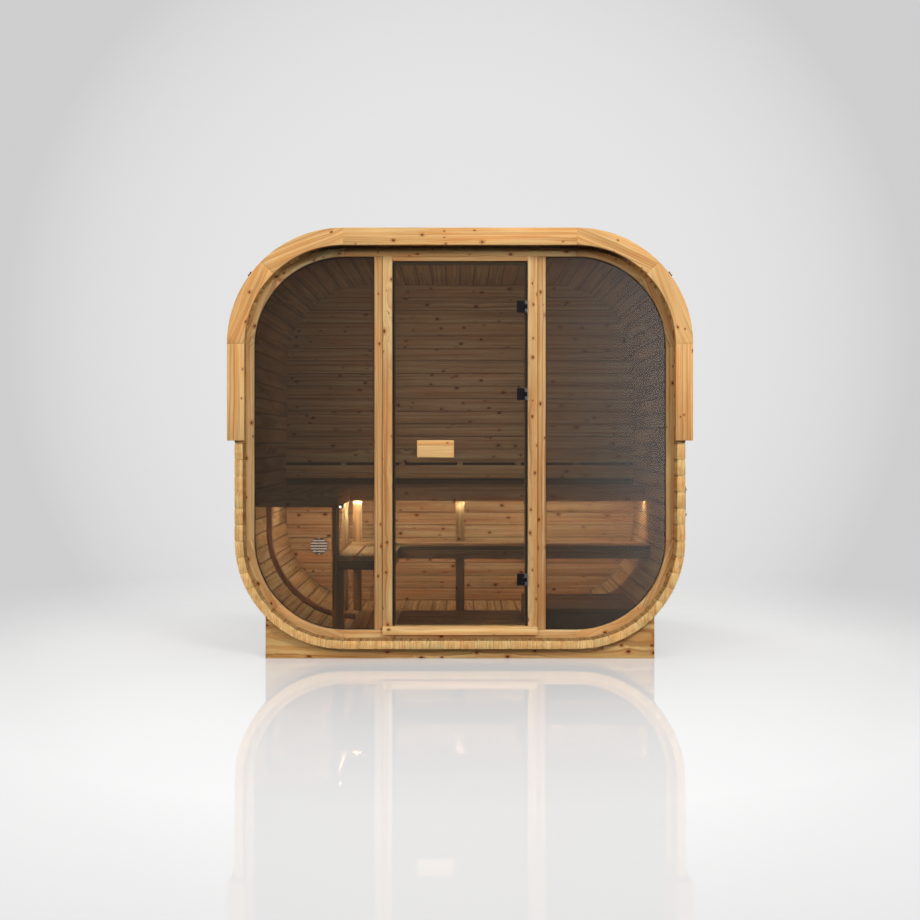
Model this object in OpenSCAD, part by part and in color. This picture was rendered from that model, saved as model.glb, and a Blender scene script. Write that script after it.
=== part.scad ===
// Cube sauna: a walk-in cabin of timber staves on two cradle boards.
// X runs to the right as seen from the door, Y to the back, Z up.
// The origin is on the ground, under the middle of the cabin.

/* [Stave shell] */
// Width of the shell over its side walls
shell_w = 2300; // [2200:10:2600]
// Height of the shell from under the floor to over the ceiling
shell_h = 2100; // [2000:10:2300]
// Radius of the outer corners
corner_r = 550; // [480:5:620]
// Thickness of a stave
stave_t = 42; // [34:1:52]
// Length of the staves from front to back
stave_len = 1720; // [1700:10:2200]
// Staves that turn each corner
corner_steps = 10; // [6:1:14]
// Staves across the floor and across the ceiling
floor_count = 14; // [10:1:18]
// Staves up each side wall
wall_count = 12; // [8:1:16]
// Depth of the V joint between two staves
joint_v = 3; // [1:0.5:5]
// Height of the shell's underside above the ground
base_lift = 56; // [40:1:90]
// Play between the corner staves and what bears on them
stave_play = 0.02; // [0.02:0.01:0.1]

/* [Cradles] */
// Length of a cradle board
cradle_len = 2000; // [1700:10:2040]
// Thickness of a cradle board
cradle_t = 45; // [35:1:60]
// Distance from the stave ends to a cradle board
cradle_setback = 50; // [30:1:60]

/* [Roof cover] */
// Thickness of the roof cover down the sides
roof_side_t = 28; // [20:1:40]
// Thickness of the roof cover over the ceiling staves
roof_top_t = 40; // [30:1:50]
// Height of the lower edge of the roof cover above the ground
eaves_z = 1120; // [900:10:1300]
// Boards that turn each corner of the roof cover
roof_steps = 11; // [7:1:15]
// Width of the fascia boards
fascia_w = 88; // [80:1:100]
// Thickness of the fascia boards
fascia_t = 28; // [18:1:40]
// Height by which the fascia stands above the roof cover
fascia_lip = 6; // [2:1:12]

/* [Front wall] */
// Recess of the front wall behind the stave ends
front_recess = 89; // [70:1:100]
// Width of the frame that follows the inside of the shell
frame_w = 42; // [34:1:60]
// Thickness of the front wall frame and the mullions
frame_t = 42; // [34:1:60]
// Width of a mullion beside the door
mullion_w = 42; // [34:1:60]
// Slit between a mullion and its door jamb
mullion_slit = 1; // [0.5:0.5:3]
// Thickness of the window panes and the door leaf
glass_t = 8; // [6:1:10]
// Clearance round a window pane
pane_gap = 0.3; // [0.2:0.1:0.6]

/* [Door frame] */
// Clear width between the door jambs
door_w = 700; // [600:10:760]
// Width of a door jamb
jamb_w = 50; // [40:1:60]
// Distance by which the jambs stand in front of the frame
jamb_proud = 10; // [6:1:16]
// Height of the door head
head_h = 25; // [20:1:40]
// Height of the door sill above the bottom rail
sill_h = 21; // [15:1:30]
// Height of the sill's front lip
sill_lip_h = 44; // [36:1:60]
// Depth of the sill's front lip
sill_lip_d = 24; // [14:1:30]
// Depth of the sill behind the frame
sill_back = 29; // [20:1:40]
// Width of the stop behind the door leaf
stop_w = 15; // [12:1:20]

/* [Door leaf] */
// Clearance round the door leaf
leaf_gap = 6; // [5:0.5:8]
// Clearance between the door leaf and the hinge jamb
hinge_gap = 8; // [8:0.5:10]
// Setback of the door leaf behind the front of the jambs
leaf_inset = 4; // [3:0.5:6]
// Width of the door handle
handle_w = 190; // [150:5:240]
// Height of the door handle
handle_h = 89; // [60:1:110]
// Thickness of the door handle
handle_t = 26; // [18:1:26]
// Distance from the free edge of the leaf to the handle
handle_inset = 123; // [80:1:160]
// Height of the middle of the handle above the sill
handle_up = 916; // [800:1:1000]

/* [Hinges] */
// Width of a hinge plate on the glass
plate_w = 37; // [30:1:45]
// Height of a hinge plate
plate_h = 61; // [50:1:80]
// Thickness of the outer hinge plate
plate_t = 6; // [5:0.5:8]
// Distance from the hinge jamb to the pin's axis
pin_off = 11; // [10:0.5:12]
// Distance from the front of the jambs to the pin's axis
pin_out = 5; // [5:0.5:7]
// Radius of a hinge knuckle
knuckle_r = 6; // [5:0.5:6.5]
// Radius of the hinge pin
pin_r = 3; // [2:0.5:3.5]
// Height of the lowest hinge above the lower edge of the leaf
hinge_low = 235; // [180:1:300]
// Distance of the highest hinge from the upper edge of the leaf
hinge_high = 229; // [180:1:300]
// Distance of the middle hinge below the highest
hinge_mid = 452; // [380:1:600]

/* [Back wall] */
// Recess of the back wall in front of the stave ends
back_recess = 91; // [60:1:110]
// Thickness of the back wall
back_t = 42; // [30:1:60]
// Distance of the vent from the left wall
vent_x = 207; // [170:1:260]
// Height of the vent above the floor staves
vent_up = 349; // [320:1:400]
// Radius of the vent
vent_r = 58; // [45:1:65]
// Depth of the vent
vent_t = 12; // [8:1:20]
// Louvres in the vent
vent_louvres = 7; // [5:1:9]

/* [Benches] */
// Height of the upper seat above the floor staves
upper_seat = 744; // [700:1:800]
// Height of the lower seat above the floor staves
lower_seat = 417; // [380:1:460]
// Thickness of a seat slat and of an apron board
slat_t = 28; // [22:1:34]
// Gap between two slats
slat_gap = 8; // [5:0.5:12]
// Slats across the upper side seat
upper_side_count = 5; // [4:1:6]
// Slats across the upper back seat
upper_back_count = 5; // [4:1:6]
// Slats across each lower seat
lower_count = 3; // [2:1:4]
// Width of the upper side seat from the left wall
upper_side_w = 448; // [400:1:480]
// Gap between the upper and lower side seats
seat_step = 18; // [10:1:30]
// Width of the lower side seat
lower_side_w = 296; // [250:1:310]
// Depth of the upper back seat from the back wall
upper_back_d = 501; // [450:1:560]
// Depth of the lower back seat
lower_back_d = 290; // [250:1:320]
// Gap between the upper back seat and the back wall
seat_wall_gap = 19; // [10:1:30]
// Distance from the front frame to the upper side seat
upper_front = 247; // [200:1:300]
// Distance from the front frame to the lower side seat
lower_front = 49; // [40:1:90]
// Height of the upper aprons below the slats
upper_apron_h = 55; // [50:1:90]
// Height of the lower aprons below the slats
lower_apron_h = 47; // [40:1:80]
// Height of the bearers under the slats
bearer_h = 36; // [28:1:40]
// Width of a bearer
bearer_w = 28; // [22:1:45]
// Width of the middle posts
mid_post_w = 50; // [40:1:70]
// Width of the other posts
post_w = 35; // [30:1:45]
// Depth of a post
post_d = 45; // [35:1:60]
// Slit between the two halves of the upper back apron
apron_slit = 3; // [2:0.5:5]

/* [Backrest] */
// Height of a backrest board
rest_h = 82; // [60:1:100]
// Slot between the backrest boards
rest_slot = 19; // [12:1:30]
// Height of the lower backrest board above the upper seat
rest_up = 39; // [20:1:80]
// Thickness of a backrest board
rest_t = 22; // [18:1:28]
// Distance between the backrest battens
rest_pitch = 371; // [300:1:400]
// Width of a backrest batten
rest_batten_w = 34; // [25:1:50]
// Depth of a backrest batten
rest_batten_t = 28; // [20:1:40]

/* [Floor] */
// Height of the floor rack above the floor staves
rack_h = 47; // [40:1:55]
// Thickness of a rack slat
rack_t = 22; // [18:1:28]
// Slats in the floor rack
rack_slats = 7; // [5:1:8]
// Half the width of the floor rack
rack_half = 340; // [300:1:344]
// Width of a rack runner
runner_w = 40; // [30:1:50]
// Height of the raised deck above the floor staves
deck_h = 142; // [120:1:160]
// Thickness of the deck boards
deck_t = 28; // [20:1:34]
// Distance of the deck from the middle of the cabin
deck_x = 352; // [350:1:380]
// Clearance between the front frame and the floor rack or deck
floor_front = 29; // [29:1:60]

/* [Fittings] */
// Thickness of the rib that follows the left wall
rib_t = 30; // [20:1:40]
// Width of the rib from front to back
rib_w = 42; // [30:1:60]
// Distance from the middle of the cabin forward to the rib
rib_forward = 100; // [80:1:160]
// Height of the light strip's profile
strip_h = 12; // [8:1:14]
// Depth of the light strip's profile
strip_t = 8; // [6:1:10]
// Width of a steel band
band_w = 20; // [16:1:24]
// Thickness of a steel band
band_t = 1.2; // [1:0.1:2]
// Distance from the stave ends to the middle of a steel band
band_inset = 115; // [115:1:140]
// Height of the lower ear of the tensioner above the ground
tension_z = 735; // [650:1:900]
// Distance between the ears of the tensioner
tension_len = 132; // [100:1:180]
// Reach of the tensioner ears
ear_d = 26; // [20:1:30]
// Length of a roof staple
staple_l = 26; // [20:1:32]
// Height of a roof staple
staple_h = 23; // [14:1:28]

/* [Hidden] */

$fn = 96;
// Extra length that carries a cut past a face
over = 1;

// Shell
half_w = shell_w / 2;
half_len = stave_len / 2;
shell_top = base_lift + shell_h;
in_half = half_w - stave_t;
floor_z = base_lift + stave_t;
ceiling_z = shell_top - stave_t;
in_r = corner_r - stave_t;
corner_x = half_w - corner_r;
low_z = base_lift + corner_r;
high_z = shell_top - corner_r;

// Roof and fascia
fascia_half = half_w + roof_side_t + fascia_lip;
fascia_top = shell_top + roof_top_t + fascia_lip;
roof_half = fascia_half - fascia_lip;
roof_top_z = fascia_top - fascia_lip;
fascia_r = corner_r + (fascia_half - half_w + fascia_top - shell_top) / 2;
fascia_cx = fascia_half - fascia_r;
fascia_cz = fascia_top - fascia_r;

// Front wall
frame_y = -half_len + front_recess;
frame_back_y = frame_y + frame_t;
open_half = in_half - frame_w;
open_low = floor_z + frame_w;
open_high = ceiling_z - frame_w;
open_r = in_r - frame_w;
jamb_x = door_w / 2;
jamb_out = jamb_x + jamb_w;
mullion_x = jamb_out + mullion_slit;
mullion_out = mullion_x + mullion_w;
pane_y = frame_y + (frame_t - glass_t) / 2;

// Door
jamb_y = frame_y - jamb_proud;
sill_top = open_low + sill_h;
head_low = open_high - head_h;
leaf_y = jamb_y + leaf_inset;
leaf_back = leaf_y + glass_t;
stop_y = leaf_back + leaf_gap;
leaf_left = -jamb_x + leaf_gap;
leaf_right = jamb_x - hinge_gap;
leaf_low = sill_top + leaf_gap;
leaf_high = head_low - leaf_gap;
pin_x = jamb_x - pin_off;
pin_y = jamb_y - pin_out;
pin_clear = 0.1;
knuckle_gap = 1;
knuckle_h = plate_h / 3;
end_h = knuckle_h - knuckle_gap;
arm_t = 6;
bracket_t = 2.5;
plate_x = pin_x - knuckle_r - 2;
hinge_heights = [leaf_low + hinge_low, leaf_high - hinge_high - hinge_mid, leaf_high - hinge_high];

// Back wall
back_y = half_len - back_recess - back_t;

// Benches
upper_z = floor_z + upper_seat;
lower_z = floor_z + lower_seat;
upper_under = upper_z - slat_t;
lower_under = lower_z - slat_t;
upper_low = upper_under - upper_apron_h;
lower_low = lower_under - lower_apron_h;
upper_x = -in_half + upper_side_w;
lower_x0 = upper_x + seat_step;
lower_x1 = lower_x0 + lower_side_w;
upper_y0 = frame_back_y + upper_front;
lower_y0 = frame_back_y + lower_front;
upper_y = back_y - upper_back_d;
lower_y = upper_y - lower_back_d;
ledger_y = upper_y + slat_t;
side_post_x = upper_x + seat_step;

// Backrest
rest_z0 = upper_z + rest_up;
rest_z1 = rest_z0 + rest_h + rest_slot;
rest_y = back_y - rest_batten_t - rest_t;

// Floor
floor_y0 = frame_back_y + floor_front;
rack_y1 = lower_y - 6;
deck_z = floor_z + deck_h;

// Fittings
band_y = half_len - band_inset;
band_slack = 1;
strip_z = upper_low + 3;

// Helpers

// Carries a flat drawing in X and Z along Y from y0 to y1
module along_y(y0, y1) {
    translate([0, y1, 0])
        rotate([90, 0, 0])
            linear_extrude(y1 - y0)
                children();
}

// A block from its lowest to its highest corner
module block(low, high) {
    translate(low)
        cube(high - low);
}

// A piece and its twin on the other side of the cabin
module both_sides() {
    children();
    mirror([1, 0, 0])
        children();
}

// A piece and its twin at the other end of the cabin
module both_ends() {
    children();
    mirror([0, 1, 0])
        children();
}

// Keeps what lies inside the shell
module in_shell() {
    intersection() {
        children();
        along_y(-half_len, half_len)
            polygon(inner_outline);
    }
}

function arc_points(cx, cz, r, from, to, steps) =
    [for (i = [0 : steps]) let (a = from + (to - from) * i / steps)
        [cx + r * cos(a), cz + r * sin(a)]];
function line_points(from, to, steps) = [for (i = [0 : steps]) from + (to - from) * i / steps];
function reversed(list) = [for (i = [len(list) - 1 : -1 : 0]) list[i]];
function toward(from, to, d) = from + d * (to - from) / norm(to - from);

// A rounded square as a closed list of points, its corners in straight steps
function rounded_outline(half, low, high, r, steps) = concat(
    arc_points(half - r, low + r, r, -90, 0, steps),
    arc_points(half - r, high - r, r, 0, 90, steps),
    arc_points(-half + r, high - r, r, 90, 180, steps),
    arc_points(-half + r, low + r, r, 180, 270, steps));

outer_outline = rounded_outline(half_w, base_lift, shell_top, corner_r, corner_steps);
inner_outline = rounded_outline(in_half, floor_z, ceiling_z, in_r, corner_steps);

// One face of a run of staves: joints at the points of near, each with its V cut towards far
function grooved(near, far) = let (n = len(near) - 1) concat(
    [toward(near[0], far[0], joint_v), toward(near[0], near[1], joint_v)],
    [for (i = [1 : n - 1]) each [
        toward(near[i], near[i - 1], joint_v),
        toward(near[i], far[i], joint_v),
        toward(near[i], near[i + 1], joint_v)]],
    [toward(near[n], near[n - 1], joint_v), toward(near[n], far[n], joint_v)]);

// A run of staves between its outer and its inner joint points
module stave_run(outer, inner) {
    along_y(-half_len, half_len)
        polygon(concat(grooved(outer, inner), reversed(grooved(inner, outer))));
}

// The opening inside the front frame, smaller all round by inset
module frame_opening(inset) {
    half = open_half - inset;
    r = open_r - inset;
    translate([-half, open_low + inset + r])
        square([2 * half, open_high - open_low - 2 * inset - 2 * r]);
    translate([-half + r, open_low + inset])
        square([2 * (half - r), open_high - open_low - 2 * inset]);
    for (x = [-half + r, half - r])
        for (z = [open_low + inset + r, open_high - inset - r])
            translate([x, z])
                circle(r);
}

// Boards side by side along Y, which fill a width from x0 to x1
module slats_along_y(x0, x1, y0, y1, z, count) {
    w = (x1 - x0 - (count - 1) * slat_gap) / count;
    for (i = [0 : count - 1])
        block([x0 + i * (w + slat_gap), y0, z - slat_t], [x0 + i * (w + slat_gap) + w, y1, z]);
}

// Boards side by side along X, which fill a depth from y0 to y1
module slats_along_x(x0, x1, y0, y1, z, thick, count) {
    w = (y1 - y0 - (count - 1) * slat_gap) / count;
    for (i = [0 : count - 1])
        block([x0, y0 + i * (w + slat_gap), z - thick], [x1, y0 + i * (w + slat_gap) + w, z]);
}

// Shell

module cradles() {
    color("#86694a")
        both_ends()
            along_y(-half_len + cradle_setback, -half_len + cradle_setback + cradle_t)
                difference() {
                    translate([-cradle_len / 2, 0])
                        square([cradle_len, low_z]);
                    polygon(outer_outline);
                    translate([-half_w, base_lift + corner_r])
                        square([shell_w, corner_r]);
                }
}

module floor_staves() {
    color("#d8a670")
        stave_run(
            line_points([-corner_x, base_lift], [corner_x, base_lift], floor_count),
            line_points([-corner_x, floor_z], [corner_x, floor_z], floor_count));
}

module ceiling_staves() {
    color("#d8a670")
        stave_run(
            line_points([corner_x, shell_top], [-corner_x, shell_top], floor_count),
            line_points([corner_x, ceiling_z], [-corner_x, ceiling_z], floor_count));
}

module side_staves() {
    color("#d8a670")
        both_sides()
            stave_run(
                line_points([half_w, low_z], [half_w, high_z], wall_count),
                line_points([in_half, low_z], [in_half, high_z], wall_count));
}

module lower_corner_staves() {
    color("#d8a670")
        both_sides()
            stave_run(
                arc_points(corner_x, low_z, corner_r - stave_play, -90, 0, corner_steps),
                arc_points(corner_x, low_z, in_r + stave_play, -90, 0, corner_steps));
}

module upper_corner_staves() {
    color("#d8a670")
        both_sides()
            stave_run(
                arc_points(corner_x, high_z, corner_r - stave_play, 0, 90, corner_steps),
                arc_points(corner_x, high_z, in_r + stave_play, 0, 90, corner_steps));
}

// Roof cover

// The room that a steel band takes under the roof cover
module band_channels() {
    slack = band_t + band_slack;
    both_ends()
        along_y(band_y - band_w / 2 - band_slack, band_y + band_w / 2 + band_slack)
            polygon(rounded_outline(half_w + slack, base_lift - slack, shell_top + slack,
                corner_r + slack, corner_steps));
}

module roof_top() {
    color("#c79a66")
        difference() {
            block([-fascia_cx, -half_len, shell_top], [fascia_cx, half_len, roof_top_z]);
            band_channels();
        }
}

module roof_flanks() {
    outer = arc_points(fascia_cx, fascia_cz, roof_top_z - fascia_cz, 90, 0, roof_steps);
    inner = arc_points(corner_x, high_z, corner_r, 0, 90, corner_steps);
    color("#c79a66")
        difference() {
            both_sides()
                along_y(-half_len, half_len)
                    polygon(concat(
                        outer,
                        [[roof_half, eaves_z], [half_w, eaves_z]],
                        inner,
                        [[fascia_cx, shell_top]]));
            band_channels();
        }
}

module fascia_top_boards() {
    color("#dcb078")
        both_ends()
            block([-fascia_cx, -half_len - fascia_t, fascia_top - fascia_w],
                [fascia_cx, -half_len, fascia_top]);
}

// A piece of fascia that turns through half a corner
module fascia_arc(from) {
    both_ends()
        both_sides()
            translate([fascia_cx, -half_len, fascia_cz])
                rotate([90, 0, 0])
                    rotate([0, 0, from])
                        rotate_extrude(angle = 45)
                            translate([fascia_r - fascia_w, 0])
                                square([fascia_w, fascia_t]);
}

module fascia_upper_arcs() {
    color("#dcb078")
        fascia_arc(45);
}

module fascia_lower_arcs() {
    color("#dcb078")
        fascia_arc(0);
}

module fascia_side_boards() {
    color("#dcb078")
        both_ends()
            both_sides()
                block([fascia_half - fascia_w, -half_len - fascia_t, eaves_z],
                    [fascia_half, -half_len, fascia_cz]);
}

// A staple on the flat board of the roof that lies nearest to the middle of its corner
module roof_staples() {
    facet = 90 / roof_steps;
    lean = facet * (floor(roof_steps * 0.4) + 0.5);
    seat = (roof_top_z - fascia_cz) * cos(facet / 2);
    foot_r = 3.5;
    rod_r = 2.5;
    reach = staple_l / 2 - foot_r;
    color("#1c1c1c")
        both_sides()
            translate([fascia_cx, -half_len + 20, fascia_cz])
                rotate([0, -lean, 0])
                    translate([seat, 0, 0]) {
                        for (s = [-reach, reach])
                            translate([0, 0, s])
                                rotate([0, 90, 0])
                                    cylinder(r = foot_r, h = staple_h);
                        translate([staple_h - foot_r, 0, -reach])
                            cylinder(r = rod_r, h = 2 * reach);
                    }
}

module steel_bands() {
    color("#8d8f90")
        both_ends()
            along_y(band_y - band_w / 2, band_y + band_w / 2)
                difference() {
                    polygon(rounded_outline(half_w + band_t, base_lift - band_t, shell_top + band_t,
                        corner_r + band_t, corner_steps));
                    polygon(outer_outline);
                }
}

module band_tensioners() {
    ear_t = 6;
    rod_r = 4;
    nut_r = 8;
    nut_h = 8;
    face = half_w + band_t;
    color("#303234")
        both_ends()
            translate([face, -band_y, tension_z]) {
                for (z = [0, tension_len - ear_t])
                    block([0, -band_w / 2, z], [ear_d, band_w / 2, z + ear_t]);
                translate([ear_d - nut_r - 1, 0, -nut_h])
                    cylinder(r = nut_r, h = nut_h, $fn = 6);
                translate([ear_d - nut_r - 1, 0, tension_len])
                    cylinder(r = nut_r, h = nut_h, $fn = 6);
                translate([ear_d - nut_r - 1, 0, -nut_h])
                    cylinder(r = rod_r, h = tension_len + 3 * nut_h);
            }
}

// Back wall

module back_wall() {
    color("#c2935f")
        along_y(back_y, back_y + back_t)
            polygon(inner_outline);
}

module vent_grille() {
    rim = 8;
    pitch = 2 * (vent_r - rim) / vent_louvres;
    color("#c9c9c4")
        translate([-in_half + vent_x, back_y, floor_z + vent_up])
            rotate([90, 0, 0]) {
                difference() {
                    cylinder(r = vent_r, h = vent_t);
                    translate([0, 0, -over])
                        cylinder(r = vent_r - rim, h = vent_t + 2 * over);
                }
                intersection() {
                    cylinder(r = vent_r - rim / 2, h = vent_t - 2);
                    for (i = [0 : vent_louvres - 1])
                        translate([-vent_r, (i + 0.5) * pitch - vent_r + rim, 0])
                            rotate([35, 0, 0])
                                translate([0, -1.25, 0])
                                    cube([2 * vent_r, 2.5, vent_t]);
                }
            }
}

// Front wall

module frame_rails() {
    color("#c99a66") {
        block([-corner_x, frame_y, floor_z], [corner_x, frame_back_y, open_low]);
        block([-corner_x, frame_y, open_high], [corner_x, frame_back_y, ceiling_z]);
    }
}

module frame_stiles() {
    color("#c0905c")
        both_sides()
            block([open_half, frame_y, low_z], [in_half, frame_back_y, high_z]);
}

// A quarter of the frame: straight steps against the staves outside, a true arc inside
module frame_corner(z, from) {
    difference() {
        polygon(concat(
            [[corner_x, z]],
            arc_points(corner_x, z, in_r, from, from + 90, corner_steps)));
        translate([corner_x, z])
            circle(open_r);
    }
}

module frame_corners() {
    color("#c0905c")
        both_sides()
            along_y(frame_y, frame_back_y) {
                frame_corner(low_z, -90);
                frame_corner(high_z, 0);
            }
}

module mullions() {
    color("#c99a66")
        both_sides()
            block([mullion_x, frame_y, open_low], [mullion_out, frame_back_y, open_high]);
}

module left_pane() {
    color([0.32, 0.24, 0.18, 0.6])
        along_y(pane_y, pane_y + glass_t)
            intersection() {
                frame_opening(pane_gap);
                translate([-in_half, floor_z])
                    square([in_half - mullion_out - pane_gap, ceiling_z - floor_z]);
            }
}

module right_pane() {
    color([0.32, 0.24, 0.18, 0.6])
        along_y(pane_y, pane_y + glass_t)
            intersection() {
                frame_opening(pane_gap);
                translate([mullion_out + pane_gap, floor_z])
                    square([in_half - mullion_out - pane_gap, ceiling_z - floor_z]);
            }
}

// Door frame

module door_jambs() {
    color("#cfa06b")
        both_sides() {
            block([jamb_x, jamb_y, sill_top], [jamb_out, frame_back_y, open_high]);
            block([jamb_x - stop_w, stop_y, sill_top], [jamb_x + over, frame_back_y, head_low]);
        }
}

module door_head() {
    color("#cfa06b") {
        block([-jamb_x, jamb_y, head_low], [jamb_x, frame_back_y, open_high]);
        block([-jamb_x + stop_w, stop_y, head_low - stop_w],
            [jamb_x - stop_w, frame_back_y, head_low + over]);
    }
}

module door_sill() {
    color("#d8ab76") {
        block([-jamb_out, frame_y - sill_lip_d, sill_top - sill_lip_h], [jamb_out, frame_y, sill_top]);
        block([-jamb_out, frame_y - over, open_low], [jamb_out, frame_back_y + sill_back, sill_top]);
    }
}

// Door leaf and hinges

module hinge_brackets() {
    color("#9a9c9e")
        for (z = hinge_heights) {
            block([jamb_x - bracket_t, pin_y - arm_t / 2 - 1, z - plate_h / 2],
                [jamb_x, stop_y, z + plate_h / 2]);
            for (low = [z - plate_h / 2, z + plate_h / 2 - end_h]) {
                block([pin_x, pin_y - arm_t / 2, low],
                    [jamb_x - bracket_t / 2, pin_y + arm_t / 2, low + end_h]);
                translate([pin_x, pin_y, low])
                    cylinder(r = knuckle_r, h = end_h);
            }
            translate([pin_x, pin_y, z - plate_h / 2])
                cylinder(r = pin_r, h = plate_h);
        }
}

module hinge_plates() {
    inner_t = 5;
    arm_root = 8;
    color("#17181a")
        for (z = hinge_heights) {
            difference() {
                union() {
                    block([plate_x - plate_w, leaf_y - plate_t, z - plate_h / 2],
                        [plate_x, leaf_y, z + plate_h / 2]);
                    block([plate_x - arm_root, pin_y - arm_t / 2, z - knuckle_h / 2],
                        [pin_x, leaf_y - 1, z + knuckle_h / 2]);
                    translate([pin_x, pin_y, z - knuckle_h / 2])
                        cylinder(r = knuckle_r, h = knuckle_h);
                }
                translate([pin_x, pin_y, z - plate_h / 2 - over])
                    cylinder(r = pin_r + pin_clear, h = plate_h + 2 * over);
            }
            block([plate_x - plate_w, leaf_back, z - plate_h / 2],
                [plate_x, leaf_back + inner_t, z + plate_h / 2]);
        }
}

module door_leaf() {
    color([0.32, 0.24, 0.18, 0.6])
        block([leaf_left, leaf_y, leaf_low], [leaf_right, leaf_back, leaf_high]);
}

module door_handle() {
    x0 = leaf_left + handle_inset;
    z0 = sill_top + handle_up - handle_h / 2;
    color("#e0b98a") {
        block([x0, leaf_y - handle_t, z0], [x0 + handle_w, leaf_y, z0 + handle_h]);
        block([x0, leaf_back, z0], [x0 + handle_w, leaf_back + handle_t, z0 + handle_h]);
    }
}

// Benches

module upper_slats() {
    color("#b98d5e") {
        slats_along_y(-in_half, upper_x, upper_y0, upper_y - slat_gap, upper_z, upper_side_count);
        slats_along_x(-in_half, in_half, upper_y, back_y - seat_wall_gap, upper_z, slat_t,
            upper_back_count);
    }
}

module upper_aprons() {
    color("#a97f54") {
        block([-in_half, upper_y0, upper_low], [upper_x, upper_y0 + slat_t, upper_under]);
        block([upper_x, upper_y, upper_low], [-apron_slit / 2, ledger_y, upper_under]);
        block([apron_slit / 2, upper_y, upper_low], [in_half, ledger_y, upper_under]);
    }
}

module upper_side_apron() {
    color("#a97f54")
        block([upper_x - slat_t, upper_y0 + slat_t, upper_low], [upper_x, upper_y, upper_under]);
}

// A post from the shell up to z, with its lowest corner in plan at x and y
module post(x, y, width, z) {
    block([x, y, base_lift], [x + width, y + post_d, z]);
}

module upper_posts() {
    color("#b98d5e")
        in_shell() {
            post(upper_x - post_w, upper_y0 + slat_t, post_w, upper_low);
            post(upper_x - slat_t - post_w / 2, upper_y, post_w, upper_under);
            post(side_post_x, ledger_y, mid_post_w, upper_under);
            post(-mid_post_w / 2, ledger_y, mid_post_w, upper_under);
        }
}

module lower_slats() {
    color("#b98d5e")
        in_shell() {
            slats_along_y(lower_x0, lower_x1, lower_y0, lower_y - slat_gap, lower_z, lower_count);
            slats_along_x(lower_x0, in_half, lower_y, upper_y, lower_z, slat_t, lower_count);
        }
}

module lower_aprons() {
    color("#a97f54")
        in_shell() {
            block([lower_x0, lower_y0, lower_low], [lower_x1, lower_y0 + slat_t, lower_under]);
            block([lower_x1, lower_y, lower_low], [in_half, lower_y + slat_t, lower_under]);
        }
}

module lower_side_rails() {
    color("#a97f54") {
        block([lower_x1 - slat_t, lower_y0 + slat_t, lower_low], [lower_x1, lower_y, lower_under]);
        block([lower_x0, lower_y0 + slat_t, lower_low], [lower_x0 + slat_t, upper_y, lower_under]);
    }
}

module lower_posts() {
    color("#9c7650")
        in_shell() {
            for (x = [lower_x0, lower_x1 - slat_t])
                post(x, lower_y0 + slat_t, slat_t, lower_low);
            post(lower_x1 - slat_t - post_w, lower_y, post_w, lower_under);
            post(-mid_post_w / 2, lower_y + slat_t, mid_post_w, lower_under);
        }
}

module bench_bearers() {
    color("#a97f54")
        in_shell() {
            for (y = [(upper_y0 + upper_y) / 2, upper_y - bearer_w])
                block([-in_half, y, upper_under - bearer_h], [upper_x - slat_t, y + bearer_w, upper_under]);
            for (x = [-in_half, mid_post_w / 2, in_half - bearer_w])
                block([x, ledger_y, upper_under - bearer_h], [x + bearer_w, back_y, upper_under]);
            for (y = [(lower_y0 + lower_y) / 2, lower_y - bearer_w])
                block([lower_x0 + slat_t, y, lower_under - bearer_h],
                    [lower_x1 - slat_t, y + bearer_w, lower_under]);
            for (x = [mid_post_w / 2, in_half - 3 * bearer_w])
                block([x, lower_y + slat_t, lower_under - bearer_h], [x + bearer_w, upper_y, lower_under]);
            block([lower_x0, upper_y, lower_under - bearer_h], [in_half, ledger_y, lower_under]);
        }
}

module backrest_boards() {
    color("#b98d5e")
        for (z = [rest_z0, rest_z1])
            block([-in_half, rest_y, z], [in_half, rest_y + rest_t, z + rest_h]);
}

module backrest_battens() {
    color("#c99a66")
        for (i = [-2 : 2])
            block([i * rest_pitch - rest_batten_w / 2, back_y - rest_batten_t, rest_z0],
                [i * rest_pitch + rest_batten_w / 2, back_y, rest_z1 + rest_h]);
}

// Light strips on the backs of the upper aprons
module light_strips() {
    color("#ffd9a0") {
        block([upper_x - slat_t - strip_t, upper_y0 + slat_t + post_d, strip_z],
            [upper_x - slat_t, upper_y - 5, strip_z + strip_h]);
        block([side_post_x + mid_post_w + 5, ledger_y, strip_z],
            [-mid_post_w / 2 - 5, ledger_y + strip_t, strip_z + strip_h]);
        block([mid_post_w / 2 + 5, ledger_y, strip_z],
            [in_half - 30, ledger_y + strip_t, strip_z + strip_h]);
    }
}

// The rib that follows the left wall from the upper seat to the floor
module wall_rib() {
    outer = arc_points(-corner_x, low_z, in_r, 270, 180, corner_steps);
    inner = arc_points(-corner_x, low_z, in_r - rib_t, 180, 270, corner_steps);
    color("#8d6742")
        along_y(-rib_forward, -rib_forward + rib_w)
            polygon(concat(
                outer,
                [[-in_half, upper_low], [-in_half + rib_t, upper_low]],
                inner));
}

// Floor

module floor_rack_runners() {
    color("#6d4f36")
        for (x = [-rack_half + 20, -runner_w / 2, rack_half - 20 - runner_w])
            block([x, floor_y0, floor_z], [x + runner_w, rack_y1, floor_z + rack_h - rack_t]);
}

module floor_rack_slats() {
    color("#6d4f36")
        slats_along_x(-rack_half, rack_half, floor_y0, rack_y1, floor_z + rack_h, rack_t, rack_slats);
}

module deck_boards() {
    color("#5b412c")
        in_shell()
            slats_along_x(deck_x, in_half, floor_y0, rack_y1, deck_z, deck_t, rack_slats);
}

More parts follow.
